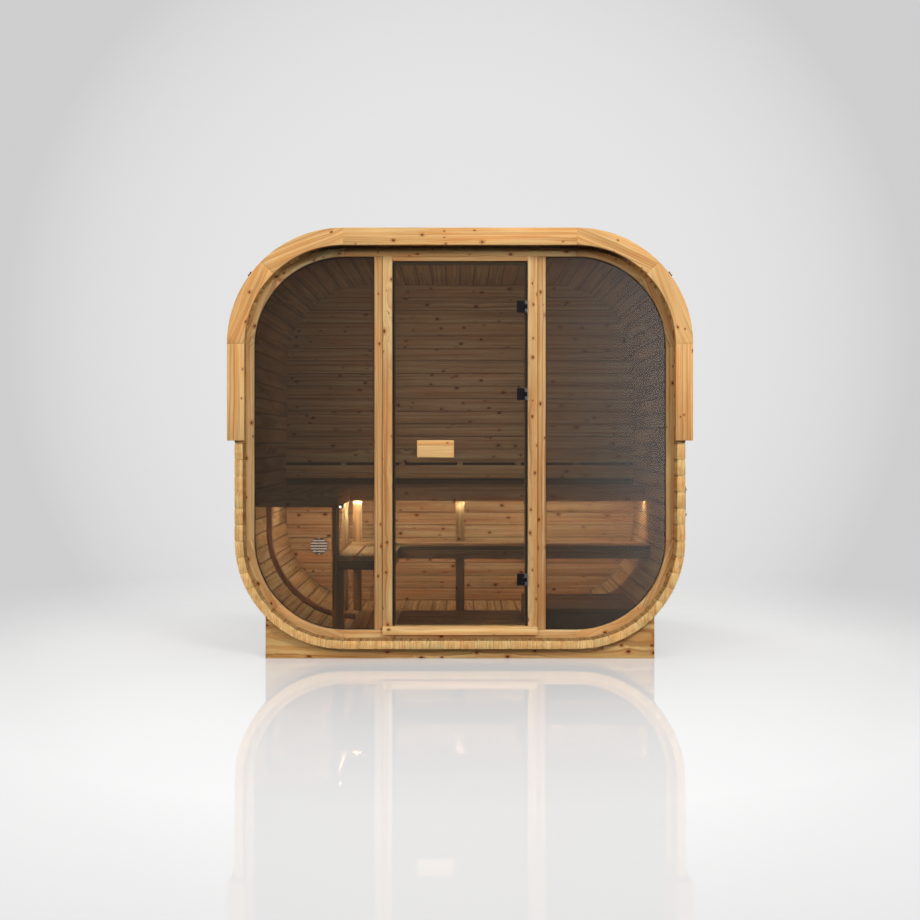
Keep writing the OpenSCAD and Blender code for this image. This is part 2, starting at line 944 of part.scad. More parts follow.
module deck_risers() {
    under = deck_z - deck_t;
    color("#5b412c")
        in_shell() {
            block([deck_x, floor_y0, base_lift], [deck_x + slat_t, rack_y1, under]);
            block([deck_x, floor_y0, base_lift], [in_half, floor_y0 + slat_t, under]);
            block([deck_x, rack_y1 - slat_t, base_lift], [in_half, rack_y1, under]);
        }
}

cradles();
floor_staves();
lower_corner_staves();
side_staves();
upper_corner_staves();
ceiling_staves();
roof_top();
roof_flanks();
fascia_top_boards();
fascia_upper_arcs();
fascia_lower_arcs();
fascia_side_boards();
steel_bands();
band_tensioners();
roof_staples();
back_wall();
vent_grille();
frame_rails();
frame_stiles();
frame_corners();
mullions();
door_jambs();
door_head();
door_sill();
left_pane();
right_pane();
hinge_brackets();
door_leaf();
door_handle();
hinge_plates();
upper_slats();
upper_aprons();
upper_side_apron();
upper_posts();
lower_slats();
lower_aprons();
lower_side_rails();
lower_posts();
bench_bearers();
backrest_boards();
backrest_battens();
light_strips();
wall_rib();
floor_rack_runners();
floor_rack_slats();
deck_boards();
deck_risers();
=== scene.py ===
# %% [markdown]
# # A cube sauna
# This lesson dresses a garden sauna. Its shell is a rounded square of timber staves, closed at the front by
# bronze glass with a hinged door. The construction arrives finished, as solids of plain geometry, and every
# position below is measured from them. So a board that is drawn here lies exactly where its solid lies.

# %% The frame
import math
import random

import bmesh
import bpy
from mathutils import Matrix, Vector


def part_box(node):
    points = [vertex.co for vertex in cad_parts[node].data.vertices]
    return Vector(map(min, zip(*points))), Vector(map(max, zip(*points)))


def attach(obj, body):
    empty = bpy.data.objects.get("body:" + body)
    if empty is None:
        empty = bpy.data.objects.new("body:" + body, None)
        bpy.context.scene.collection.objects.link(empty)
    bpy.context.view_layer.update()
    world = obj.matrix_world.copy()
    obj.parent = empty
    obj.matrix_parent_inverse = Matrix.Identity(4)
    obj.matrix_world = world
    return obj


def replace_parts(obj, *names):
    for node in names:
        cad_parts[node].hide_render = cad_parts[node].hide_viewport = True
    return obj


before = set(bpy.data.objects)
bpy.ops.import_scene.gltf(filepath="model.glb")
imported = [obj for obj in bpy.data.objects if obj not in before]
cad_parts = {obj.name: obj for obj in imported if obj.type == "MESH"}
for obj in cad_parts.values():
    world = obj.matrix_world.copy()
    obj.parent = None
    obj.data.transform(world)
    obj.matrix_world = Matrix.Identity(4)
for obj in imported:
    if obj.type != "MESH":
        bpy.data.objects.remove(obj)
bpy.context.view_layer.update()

# %% [markdown]
# ## The camera
# The sauna is looked at straight from the front, from about chest height, by a camera that stands level. A level
# camera keeps all the posts upright in the picture. To place the sauna a little lower in the frame, the lens is
# shifted and the camera isn't tilted, as with a view camera for buildings.

# %% The camera
def show(made):
    """Puts a new object into the scene, which it needs before anything can see it."""
    bpy.context.scene.collection.objects.link(made)
    return made


EYE = Vector((0.0, -7.110, 1.118))
camera = bpy.data.objects.new("camera", bpy.data.cameras.new("camera"))
camera.location = EYE
camera.rotation_euler = (math.radians(90), 0, 0)
camera.data.lens = 47.95
camera.data.shift_y = -0.0207
show(camera)
bpy.context.scene.camera = camera
bpy.context.scene.view_settings.view_transform = "Standard"

# %% [markdown]
# ## A short way to write materials
# A Blender material is a network of nodes. Adding and joining each node takes three or four lines, so this small
# class wraps the network: `node` adds one, `math`, `times` and `vector` do arithmetic, and `mix` blends two
# colours. A recipe further down then reads from top to bottom like a formula. The studio's sky is one too.


# %% A material recipe
class Recipe:
    """A node tree under construction. An input is a number, a tuple or another node's output."""

    def __init__(self, owner):
        owner.use_nodes = True
        self.owner = owner
        self.tree = owner.node_tree

    def node(self, kind, inputs=None, **settings):
        made = self.tree.nodes.new("ShaderNode" + kind)
        for name, value in settings.items():
            setattr(made, name, value)
        for name, value in (inputs or {}).items():
            self.feed(made.inputs[name], value)
        return made

    def feed(self, socket, value):
        if isinstance(value, bpy.types.NodeSocket):
            self.tree.links.new(value, socket)
        else:
            socket.default_value = value

    def math(self, operation, first, second=0.0):
        return self.node("Math", {0: first, 1: second}, operation=operation).outputs[0]

    def times(self, first, *others):
        for other in others:
            first = self.math("MULTIPLY", first, other)
        return first

    def vector(self, operation, first, second=(0.0, 0.0, 0.0)):
        made = self.node("VectorMath", {0: first, 1: second}, operation=operation)
        return made.outputs["Value" if operation == "LENGTH" else "Vector"]

    def place(self):
        """Where a point lies on the object, in metres."""
        return self.node("TexCoord").outputs["Object"]

    def split(self, vector):
        return self.node("SeparateXYZ", {"Vector": vector}).outputs

    def noise(self, place, stretch, detail=2.0, output="Fac"):
        """Smooth noise from 0 to 1. The three numbers of stretch are its features per metre along each axis."""
        stretched = self.vector("MULTIPLY", place, stretch)
        return self.node("TexNoise", {"Vector": stretched, "Scale": 1.0, "Detail": detail}).outputs[output]

    def remap(self, value, low, high, new_low=0.0, new_high=1.0):
        return self.node("MapRange", {"Value": value, "From Min": low, "From Max": high,
                                      "To Min": new_low, "To Max": new_high}).outputs["Result"]

    def mix(self, share, first, second, way="MIX"):
        made = self.node("Mix", {0: share, 6: first, 7: second}, data_type="RGBA", blend_type=way)
        return made.outputs[2]

    def tint(self, share, base, by):
        """Multiplies a colour by another one, as far as share says."""
        return self.mix(share, base, self.mix(1.0, base, by, "MULTIPLY"))

    def attribute(self, name, output="Fac"):
        return self.node("Attribute", attribute_name=name).outputs[output]

    def skin(self, **inputs):
        """Sets the principled shader. Underscores in the names stand for spaces."""
        shader = self.tree.nodes["Principled BSDF"]
        for name, value in inputs.items():
            self.feed(shader.inputs[name.replace("_", " ")], value)

    def cover(self, share, second):
        """Lays another colour over the one that the material already has."""
        base = self.tree.nodes["Principled BSDF"].inputs["Base Color"]
        self.feed(base, self.mix(share, base.links[0].from_socket, second))


def colour(red, green, blue):
    """A colour given as it looks on a screen, from 0 to 255, in the linear values that shaders use."""
    levels = [v / 255 for v in (red, green, blue)]
    return (*[v / 12.92 if v <= 0.04045 else ((v + 0.055) / 1.055) ** 2.4 for v in levels], 1.0)


def new_recipe(name):
    return Recipe(bpy.data.materials.new(name))


print("white in shader values", [round(v, 2) for v in colour(255, 255, 255)])

# %% [markdown]
# ## Knotty spruce
# Nearly everything here is planed spruce. An image would repeat and would stretch at the ends, so the wood is made
# as a solid: each point of a board knows how far it is along, across and into the board, in metres, and the
# material works out the tree from that. Growth rings are cylinders round a pith that lies outside most boards.
# Long faces then show straight or arched lines and end faces show arcs, and the two agree at every edge.
# Branches become knots, the rings flow round them, and streaks go from pale yellow to amber. A slow blush of red
# and of yellow lies over that, because no spruce board has one colour. Each board brings its own tone, its end
# grain is a little finer and browner, and joints between boards darken indoors, where little light reaches them.


# %% Knots
TONES = 1.6
KNOT_CELL = (0.15, 0.062, 0.30)
KNOT_OVAL = 0.72


def knots(recipe, place, share, widest):
    """Distance to the nearest branch, and its radius, which is zero where none grew and off the wide faces."""
    cells = recipe.vector("DIVIDE", place, KNOT_CELL)
    branch = recipe.node("TexVoronoi", {"Vector": cells, "Scale": 1.0})
    away = recipe.vector("SUBTRACT", cells, branch.outputs["Position"])
    flat = recipe.vector("MULTIPLY", away, (KNOT_CELL[0] * KNOT_OVAL, KNOT_CELL[1], 0.0))
    ragged = recipe.remap(recipe.noise(place, (160.0, 220.0, 60.0)), 0.3, 0.7, 0.75, 1.35)
    distance = recipe.times(recipe.vector("LENGTH", flat), ragged)
    chance = recipe.node("SeparateColor", {"Color": branch.outputs["Color"]}).outputs[0]
    grown = recipe.times(recipe.math("GREATER_THAN", chance, 1 - share), recipe.attribute("wide"))
    radius = recipe.times(grown, recipe.remap(chance, 1 - share, 1.0, 0.3 * widest, widest))
    return distance, radius


print("one branch in a block of", [round(v * 1000) for v in KNOT_CELL], "mm")

# %% Spruce
RING = 0.0034
KNOT_BULGE = 1.8
END_GRAIN_FINER = 1.9
LATEWOOD_SHARE = 0.38
BLUSH_RED, BLUSH_YELLOW = (0.97, 0.84, 0.71, 1.0), (1.02, 1.07, 1.08, 1.0)
JOINT_SHADE = 0.5
HALO, HEART = colour(170, 100, 48), colour(84, 40, 16)
indoors_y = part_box("frame_rails")[1].y


def growth(recipe, place, figure, distance, radius):
    """Distance from the pith, which wanders along the board and swells round its knots."""
    wander = recipe.noise(place, (1.1, 6.0, 6.0), output="Color")
    drift = recipe.vector("SUBTRACT", wander, (0.5, 0.5, 0.5))
    drift = recipe.vector("MULTIPLY", drift, (0.0, 2 * figure, 2 * figure))
    bent = recipe.vector("MULTIPLY", recipe.vector("ADD", place, drift), (0.0, 1.0, 1.0))
    bulge = recipe.math("DIVIDE", recipe.times(radius, radius), recipe.math("ADD", distance, 0.004))
    return recipe.math("ADD", recipe.vector("LENGTH", bent), recipe.times(bulge, KNOT_BULGE))


def spruce(name, pale, amber, late, knot_share=0.5, knot_size=0.0075, figure=0.014, lines=0.72, dull=0.51):
    """Planed spruce. Figure says how far the rings wander, in metres, and lines how dark the darkest years are."""
    pale, amber, late = (colour(*shade) for shade in (pale, amber, late))
    recipe = new_recipe(name)
    place = recipe.attribute("grain", "Vector")
    tone = recipe.attribute("tone")
    cut = recipe.attribute("cut")
    distance, radius = knots(recipe, place, knot_share, knot_size)
    from_pith = growth(recipe, place, figure, distance, radius)
    latewood = recipe.math("POWER", recipe.math("FRACT", recipe.math("DIVIDE", from_pith, RING)), 3.0)

    along = recipe.split(place)[0]
    finer = recipe.times(from_pith, recipe.remap(cut, 0.0, 1.0, 1.0, END_GRAIN_FINER))
    year = recipe.node("CombineXYZ", {"X": along, "Y": finer, "Z": 0.0}).outputs[0]
    streak = recipe.remap(recipe.noise(year, (0.55, 62.0, 1.0), 4.0), 0.43, 0.60)
    line = recipe.remap(recipe.noise(year, (0.9, 135.0, 1.0), 3.0), 0.51, 0.62)
    cloud = recipe.noise(place, (2.2, 16.0, 16.0))
    elsewhere = recipe.vector("ADD", place, (3.0, 0.7, 0.3))
    blush = recipe.remap(recipe.noise(elsewhere, (3.0, 34.0, 34.0), 3.0), 0.44, 0.66)
    fibre = recipe.noise(place, (30.0, 900.0, 900.0))

    base = recipe.mix(recipe.remap(tone, -TONES, TONES, 0.0, 0.55), pale, amber)
    figured = recipe.remap(cut, 0.0, 1.0, 1.0, 0.7)
    base = recipe.mix(recipe.times(streak, figured), base, amber)
    base = recipe.mix(recipe.times(latewood, LATEWOOD_SHARE), base, late)
    base = recipe.mix(recipe.times(line, lines, figured), base, late)
    shade = recipe.math("ADD", recipe.remap(cloud, 0.25, 0.75, 0.88, 1.12), recipe.times(tone, 0.06))
    shade = recipe.times(shade, recipe.remap(fibre, 0.2, 0.8, 0.93, 1.06), recipe.remap(cut, 0.0, 1.0, 1.0, 1.06))
    depth_in = recipe.split(recipe.place())[1]
    joint = recipe.times(recipe.attribute("groove"), recipe.math("GREATER_THAN", depth_in, indoors_y))
    shade = recipe.times(shade, recipe.remap(joint, 0.0, 1.0, 1.0, JOINT_SHADE))
    base = recipe.mix(1.0, base, recipe.node("CombineColor", {0: shade, 1: shade, 2: shade}).outputs[0], "MULTIPLY")
    base = recipe.tint(blush, base, BLUSH_RED)
    base = recipe.tint(recipe.math("SUBTRACT", 1.0, blush), base, BLUSH_YELLOW)

    halo = recipe.remap(distance, recipe.times(radius, 2.6), radius, 0.0, 0.75)
    heart = recipe.remap(distance, recipe.times(radius, 1.15), recipe.times(radius, 0.55))
    base = recipe.mix(heart, recipe.mix(halo, base, HALO), HEART)

    height = recipe.math("SUBTRACT", recipe.times(fibre, 0.5), latewood)
    height = recipe.math("SUBTRACT", height, recipe.times(heart, 0.8))
    bump = recipe.node("Bump", {"Height": height, "Strength": 0.35, "Distance": 0.0005}).outputs[0]
    rough = recipe.remap(recipe.math("SUBTRACT", fibre, latewood), -1.0, 1.0, dull - 0.09, dull + 0.09)
    recipe.skin(Base_Color=base, Roughness=rough, Normal=bump, Specular_IOR_Level=0.35)
    return recipe.owner


print("spruce rings", RING * 1000, "mm apart")

# %% [markdown]
# ## The woods of the sauna
# One recipe makes every wood here. Each gets three colours, of pale wood, of amber streaks and of the dark line
# that ends a year, and where needed its share of knots, their size, how far the rings wander, and how dark the
# lines are. The upper seats, aprons, posts, rib and floor have woods of their own, which are darker. On the upper
# seats, aprons, rails and posts that darkness is painted shade.

# %% The woods of the sauna
LATE = (166, 110, 60)
stave_wood = spruce("stave_spruce", (234, 198, 136), (206, 154, 94), (160, 108, 58))
fascia_wood = spruce("fascia_spruce", (238, 198, 137), (214, 158, 98), LATE, 0.42, 0.006, 0.022, 0.56)
sill_wood = spruce("sill_spruce", (236, 202, 144), (214, 170, 114), (190, 140, 88), 0.6, 0.006)
frame_wood = spruce("frame_spruce", (224, 192, 138), (202, 155, 102), LATE, 0.8, 0.007)
mullion_wood = spruce("mullion_spruce", (216, 182, 129), (196, 148, 97), LATE, 0.8, 0.007)
wall_wood = spruce("wall_spruce", (230, 190, 132), (204, 150, 98), (150, 94, 58), 0.65, 0.0085, 0.008, 0.5)
bench_wood = spruce("bench_spruce", (232, 192, 132), (214, 162, 104), LATE, dull=0.42)
# painted shade: darker copies of the bench wood for the upper seats, aprons, rails and posts
painted_shade_wood = spruce("painted_shade_spruce", (200, 160, 112), (176, 128, 84), (140, 92, 56))
post_wood = spruce("post_spruce", (224, 186, 128), (194, 150, 98), (150, 104, 62))
rib_wood = spruce("rib_spruce", (186, 136, 102), (156, 108, 79), (123, 82, 58))
floor_wood = spruce("floor_spruce", (158, 116, 76), (134, 90, 56), (104, 68, 40))
roof_wood = spruce("roof_spruce", (224, 181, 116), (200, 142, 84), LATE)
cradle_wood = spruce("cradle_spruce", (220, 182, 120), (194, 146, 88), (146, 98, 52), 0.6, 0.010, 0.03)
handle_wood = spruce("handle_spruce", (242, 208, 150), (214, 162, 102), (176, 120, 68), 0.5, 0.003)
print("woods", sum("spruce" in m.name for m in bpy.data.materials))

# %% [markdown]
# ## Sawing a board
# Each board is a prism: a section drawn flat, carried along one axis. Its sharp edges are planed off with a small
# bevel, because real edges catch a thin line of light and a mathematically sharp edge looks like a drawing. While
# the board is still alone, every point of it gets its place in the tree, so that neighbours never share a grain.
# Where the pith lies decides the look: below the wide face in a flat-sawn board, which shows arches, off its edge
# in a quarter-sawn one, which shows straight lines, and between the two in a rift-sawn one. Upright staves keep
# the pith to one side of the sauna, however the stave is turned. The boards of one run are then stacked in one
# mesh, and a run with a pile number takes its boards from another pile. Faces are marked as cut across the
# fibres, as wide enough to show knots, or as part of a joint, and the wood reads those marks.


# %% Sawing a board
AXES = {"x": Vector((1, 0, 0)), "y": Vector((0, 1, 0)), "z": Vector((0, 0, 1))}
FLAT = {"x": ("y", "z"), "y": ("x", "z"), "z": ("x", "y")}
SHARP = math.radians(24)
DEPTH_HANDICAP = 0.25
V_JOINT, SIDES = 0.97, 0.3
END_ON, FACE_ON, ALONG = 0.8, 0.5, 0.3
START_REACH = 60
OFF_EDGE = ((0.12, 0.40), (0.0, 0.02))
PITH = {"flat": ((0.0, 0.05), (0.025, 0.110)), "quarter": OFF_EDGE, "upright": OFF_EDGE,
        "rift": ((0.05, 0.11), (0.035, 0.070))}


def lift(point, axis, height):
    """A flat point of a section, at some height along the axis that the section is carried along."""
    first, second = (AXES[name] for name in FLAT[axis])
    return first * point[0] + second * point[1] + AXES[axis] * height


def ease(bm, edge):
    """Planes off the sharp edges of a closed mesh."""
    sharp = [e for e in bm.edges if e.calc_face_angle(0) > SHARP]
    if edge:
        bmesh.ops.bevel(bm, geom=sharp, offset=edge, segments=2, profile=0.5, affect="EDGES", clamp_overlap=True)


def prism(section, axis, span, edge):
    """A closed prism with its sharp edges bevelled."""
    bm = bmesh.new()
    rings = [[bm.verts.new(lift(p, axis, height)) for p in section] for height in span]
    count = len(section)
    bm.faces.new(rings[0])
    bm.faces.new(list(reversed(rings[1])))
    for i in range(count):
        j = (i + 1) % count
        bm.faces.new([rings[0][i], rings[1][i], rings[1][j], rings[0][j]])
    bmesh.ops.recalc_face_normals(bm, faces=bm.faces)
    ease(bm, edge)
    return bm


def widest(section, axis):
    """The direction of the longest side. A side that runs from front to back has to be a third longer to count."""
    first, second = (AXES[name] for name in FLAT[axis])
    flat_sides = [Vector(b) - Vector(a) for a, b in zip(section, section[1:] + section[:1])]
    sides = [first * side.x + second * side.y for side in flat_sides]
    return max(sides, key=lambda side: side.length - DEPTH_HANDICAP * abs(side.y)).normalized()


def place_piece(name, mesh, body):
    """Makes an object of a finished mesh. It rides on a body of the frame."""
    piece = show(bpy.data.objects.new(name, mesh))
    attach(piece, body)
    print(name, len(mesh.polygons), "faces")
    return piece


class Stack:
    """Boards that are sawn one by one and then joined into one piece."""

    def __init__(self, name, sawn="flat", grooved=0.0, pile=0):
        self.name = name
        self.sawn = sawn
        self.grooved = grooved
        self.chance = random.Random("%s %d" % (name, pile) if pile else name)
        self.points, self.faces, self.grain, self.tone = [], [], [], []
        self.cut, self.wide, self.groove = [], [], []
        self.boards = 0

    def saw(self, section, axis, span, edge, fibres=None):
        """Adds a board. Its fibres run along the axis, unless they are given as a direction in the section.

        Then its wide face lies across them, in the section or along the axis, whichever is the longer.
        """
        section = [tuple(p) for p in section]
        bm = prism(section, axis, span, edge)
        length = Vector(fibres).normalized() if fibres else AXES[axis]
        width = widest(section, axis)
        if fibres:
            width = AXES[axis].cross(length)
            heights = [lift(p, axis, 0.0).dot(width) for p in section]
            if span[1] - span[0] > max(heights) - min(heights):
                width = AXES[axis]
        depth = length.cross(width)
        middle = sum((v.co for v in bm.verts), Vector()) / len(bm.verts)
        start = self.chance.uniform(0, START_REACH)
        pith = [self.chance.choice((-1, 1)) * self.chance.uniform(*reach) for reach in PITH[self.sawn]]
        if self.sawn == "upright":
            heart = Vector((pith[0], 0.0, pith[1]))
            pith = [heart.dot(width), heart.dot(depth)]
        tone = self.chance.gauss(0, 1)
        offset = len(self.points)
        bm.verts.index_update()
        for v in bm.verts:
            at = v.co - middle
            self.points.append(v.co.copy())
            self.grain += [at.dot(length) + start, at.dot(width) + pith[0], at.dot(depth) + pith[1]]
            self.tone.append(max(-TONES, min(TONES, tone)))
        for f in bm.faces:
            self.faces.append([offset + v.index for v in f.verts])
            across, facing = abs(f.normal.dot(length)), abs(f.normal.dot(depth))
            self.cut.append(float(across > END_ON))
            self.wide.append(float(facing > FACE_ON))
            self.groove.append(float(facing < self.grooved and across < ALONG))
        bm.free()
        self.boards += 1

    def join(self, material, slot, replaced, body="cabin"):
        """Makes the piece, which stands for the CAD nodes in replaced and rides on a body."""
        mesh = bpy.data.meshes.new(self.name)
        mesh.from_pydata(self.points, [], self.faces)
        mesh.attributes.new("grain", "FLOAT_VECTOR", "POINT").data.foreach_set("vector", self.grain)
        mesh.attributes.new("tone", "FLOAT", "POINT").data.foreach_set("value", self.tone)
        for mark in ("cut", "wide", "groove"):
            mesh.attributes.new(mark, "FLOAT", "FACE").data.foreach_set("value", getattr(self, mark))
        mesh.materials.append(material)
        mesh.shade_smooth()
        mesh.set_sharp_from_angle(angle=SHARP)
        piece = place_piece(self.name, mesh, body)
        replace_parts(piece, *replaced)
        print("  of", self.boards, "boards")


print("end faces are those that the fibres meet head on")

# %% [markdown]
# ## The outline of the shell
# The shell is a rounded square whose corners turn in ten straight steps, one per stave. Its measures are read from
# the boxes of the solids: the side staves tell the width and where the corners begin, and the frame inside them
# tells how thick a stave is.

# %% The outline of the shell
CORNER_STEPS, FLOOR_COUNT, WALL_COUNT = 10, 14, 12
side_low, side_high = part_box("side_staves")
half_w = side_high.x
low_z, high_z = side_low.z, side_high.z
base_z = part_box("floor_staves")[0].z
top_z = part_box("ceiling_staves")[1].z
half_len = side_high.y
corner_r = low_z - base_z
corner_x = half_w - corner_r
in_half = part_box("frame_stiles")[1].x
stave_t = half_w - in_half
in_r = corner_r - stave_t
CORNERS = ((corner_x, low_z, -90), (corner_x, high_z, 0), (-corner_x, high_z, 90), (-corner_x, low_z, 180))


def arc(cx, cz, r, start, stop, steps):
    turns = [math.radians(start + (stop - start) * i / steps) for i in range(steps + 1)]
    return [Vector((cx + r * math.cos(a), cz + r * math.sin(a))) for a in turns]


def line(start, stop, steps):
    return [Vector(start).lerp(Vector(stop), i / steps) for i in range(steps + 1)]


def outline(inset):
    """The shell's outline, smaller all round by inset, as flat points in X and Z."""
    r = corner_r - inset
    return [p for cx, cz, start in CORNERS for p in arc(cx, cz, r, start, start + 90, CORNER_STEPS)]


def clip(section, fence):
    """What of a section lies inside a convex outline that runs anticlockwise."""
    for a, b in zip(fence, fence[1:] + fence[:1]):
        side = b - a
        if side.length < 1e-6:
            continue
        depths = [side.x * (p.y - a.y) - side.y * (p.x - a.x) for p in section]
        kept = []
        for i, p in enumerate(section):
            before = section[i - 1]
            if (depths[i] >= 0) != (depths[i - 1] >= 0):
                kept.append(before.lerp(p, depths[i - 1] / (depths[i - 1] - depths[i])))
            if depths[i] >= 0:
                kept.append(p)
        section = kept
    return [p for i, p in enumerate(section) if (p - section[i - 1]).length > 1e-5]


def rectangle(x0, z0, x1, z1):
    return [Vector(p) for p in ((x0, z0), (x1, z0), (x1, z1), (x0, z1))]


inner = outline(stave_t)
print("stave", round(stave_t * 1000, 1), "mm thick, corner radius", round(corner_r, 3), "m")

# %% [markdown]
# ## The staves
# A stave is a board as long as the sauna. On the floor, the ceiling and the walls its section is a rectangle, and
# in a corner it is a wedge whose sides point at the corner's middle, which is what lets straight boards turn a
# corner without a gap. Every long edge is chamfered, so two neighbours meet in a small V.
#
# The staves reach past the glass, and inside that mouth a shade is painted into the wood: nearly black under the
# ceiling, and half as dark on what faces up and on the left wall. The sauna's lamps are large and soft and can't
# give such a shade by themselves, so the material darkens there, by place and by the way a face looks.

# %% The mouth of the shell
MOUTH_SLOPE = 0.022
MOUTH_FADE = (0.074, 0.026)
UP_SHADE, LEFT_SHADE = 0.55, 0.5
mouth_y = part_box("frame_rails")[0].y
mouth = Recipe(stave_wood)
sides = mouth.node("TexCoord").outputs
place, facing = mouth.split(sides["Object"]), mouth.split(sides["Normal"])
high = mouth.math("ADD", place[2], mouth.times(place[0], MOUTH_SLOPE))
under_ceiling = mouth.remap(high, *(top_z - stave_t - reach for reach in MOUTH_FADE))
upward = mouth.remap(facing[2], 0.0, 1.0, 0.0, UP_SHADE)
on_left = mouth.times(mouth.remap(facing[0], 0.2, 1.0, 0.0, LEFT_SHADE), mouth.remap(facing[2], -0.3, 0.0),
                      mouth.math("LESS_THAN", place[0], 0.0))
# painted shade: the mouth's wood turns nearly black under the ceiling, and darker on upward faces and the left wall
painted_mouth_shade = mouth.math("MAXIMUM", mouth.math("MAXIMUM", under_ceiling, upward), on_left)
whole = mouth.math("SUBTRACT", 1.0, mouth.attribute("cut"))
mouth.cover(mouth.times(painted_mouth_shade, mouth.math("LESS_THAN", place[1], mouth_y), whole), colour(16, 9, 4))
print("mouth", round((mouth_y + half_len) * 1000), "mm deep")

# %% The staves
CHAMFER = 0.0045
STAVE_EDGE = 0.0010
HAIRLINE = 0.00005
full_length = (-half_len, half_len)


def wedges(outside, inside):
    """The corners of each board in a run, between its joints on the outside and on the inside."""
    for a, b, c, d in zip(outside, outside[1:], inside[1:], inside):
        shift = (b - a).normalized() * HAIRLINE
        yield a + shift, b - shift, c - shift, d + shift


def chamfered(a, b, c, d):
    pairs = ((a, b), (b, a), (b, c), (c, b), (c, d), (d, c), (d, a), (a, d))
    return [p + (q - p).normalized() * CHAMFER for p, q in pairs]


def lay_staves(node, runs):
    stack = Stack(node + "_timber", "upright", grooved=V_JOINT)
    for outside, inside in runs:
        for corners in wedges(outside, inside):
            stack.saw(chamfered(*corners), "y", full_length, edge=STAVE_EDGE)
    stack.join(stave_wood, "stave_wood", [node])


def corner_run(cx, cz, start):
    return tuple(arc(cx, cz, r, start, start + 90, CORNER_STEPS) for r in (corner_r, in_r))


lay_staves("floor_staves", [[line((-corner_x, z), (corner_x, z), FLOOR_COUNT) for z in (base_z, base_z + stave_t)]])
lay_staves("ceiling_staves", [[line((corner_x, z), (-corner_x, z), FLOOR_COUNT) for z in (top_z, top_z - stave_t)]])
lay_staves("side_staves", [[line((side * x, low_z), (side * x, high_z), WALL_COUNT) for x in (half_w, in_half)]
                           for side in (-1, 1)])
lay_staves("lower_corner_staves", [corner_run(corner_x, low_z, -90), corner_run(-corner_x, low_z, 180)])
lay_staves("upper_corner_staves", [corner_run(corner_x, high_z, 0), corner_run(-corner_x, high_z, 90)])

# %% [markdown]
# ## Reading single boards from the frame
# Many nodes hold several boards that don't touch, such as the slats of a seat. Points of a solid are joined by its
# faces, so following the faces from point to point finds each solid again, and its box tells where to saw the
# board. A board that meets the shell is cut to the shell's inner outline, as a joiner would scribe it.


# %% Boards from the frame
BOARD_EDGE, LARGE_EDGE = 0.0015, 0.002


def solids_of(node):
    """The lowest and highest corners of each separate solid in a CAD node."""
    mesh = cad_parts[node].data
    keys = [tuple(round(c, 5) for c in v.co) for v in mesh.vertices]
    leader = {key: key for key in keys}

    def find(key):
        while leader[key] != key:
            key = leader[key]
        return key

    for face in mesh.polygons:
        first = find(keys[face.vertices[0]])
        for i in face.vertices[1:]:
            leader[find(keys[i])] = first
    groups = {}
    for key in leader:
        groups.setdefault(find(key), []).append(key)
    boxes = [[Vector(map(pick, zip(*group))) for pick in (min, max)] for group in groups.values()]
    return sorted(boxes, key=lambda corners: tuple(corners[0]))


def saw_box(stack, low, high, edge=BOARD_EDGE):
    """A straight board that fills a box, its fibres along the longest side."""
    axis = max("xyz", key=lambda name: (high - low).dot(AXES[name]))
    first, second = (AXES[name] for name in FLAT[axis])
    section = rectangle(low.dot(first), low.dot(second), high.dot(first), high.dot(second))
    stack.saw(section, axis, (low.dot(AXES[axis]), high.dot(AXES[axis])), edge=edge)


def saw_in_shell(stack, low, high, edge=BOARD_EDGE):
    """The same, but cut to the inner outline of the shell."""
    axis = max("xyz", key=lambda name: (high - low).dot(AXES[name]))
    section = clip(rectangle(low.x, low.z, high.x, high.z), inner)
    fibres = None if axis == "y" else AXES[axis]
    stack.saw(section, "y", (low.y, high.y), fibres=fibres, edge=edge)


def lay_boards(node, material, slot, edge=BOARD_EDGE, way=saw_box, body="cabin", sawn="flat", grooved=0.0, pile=0):
    stack = Stack(node + "_timber", sawn, grooved, pile)
    for low, high in solids_of(node):
        way(stack, low, high, edge)
    stack.join(material, slot, [node], body)


print("upper seats:", len(solids_of("upper_slats")), "slats")

# %% [markdown]
# ## The cradles
# Two long boards on edge carry the shell, one near each end. Their upper edge is cut to the shell's curve, so the
# section starts as a plain board and takes its upper side from the outline of the staves.

# %% The cradles
def seat_of_shell(reach):
    """The lower outline of the shell from the right to the left, cut off at reach on both sides."""
    right = arc(corner_x, low_z, corner_r, -90, 0, CORNER_STEPS)
    inside = [p for p in right if p.x < reach]
    beyond = right[len(inside)]
    last = inside[-1]
    inside.append(last.lerp(beyond, (reach - last.x) / (beyond.x - last.x)))
    return [*reversed(inside), *(Vector((-p.x, p.y)) for p in inside)]


cradles = Stack("cradles_timber")
for low, high in solids_of("cradles"):
    cradle_section = [Vector((low.x, low.z)), Vector((high.x, low.z)), *seat_of_shell(high.x)]
    cradles.saw(cradle_section, "y", (low.y, high.y), fibres=AXES["x"], edge=LARGE_EDGE)
cradles.join(cradle_wood, "cradle_wood", ["cradles"])

# %% [markdown]
# ## The roof cover
# Boards from front to back cover the ceiling and turn down over both shoulders. The corner boards are narrow
# wedges, like the staves under them. They stand off the staves by the thickness of the steel bands, which pass
# underneath.

# %% The roof cover
ROOF_STEPS = 11
ROOF_BOARD = 0.099
BAND_ROOM = 0.0022
roof_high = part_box("roof_top")[1]
turn_x = roof_high.x
turn_z = solids_of("fascia_side_boards")[0][1].z
roof_r = roof_high.z - turn_z
eaves_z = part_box("roof_flanks")[0].z
flank_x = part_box("roof_flanks")[1].x
board_t = flank_x - half_w - BAND_ROOM


def strips(start, stop, board):
    """Splits a width into boards of about one width, with a hairline between them."""
    joints = line((start, 0), (stop, 0), round((stop - start) / board))
    return [(a.x + HAIRLINE, b.x - HAIRLINE) for a, b in zip(joints, joints[1:])]


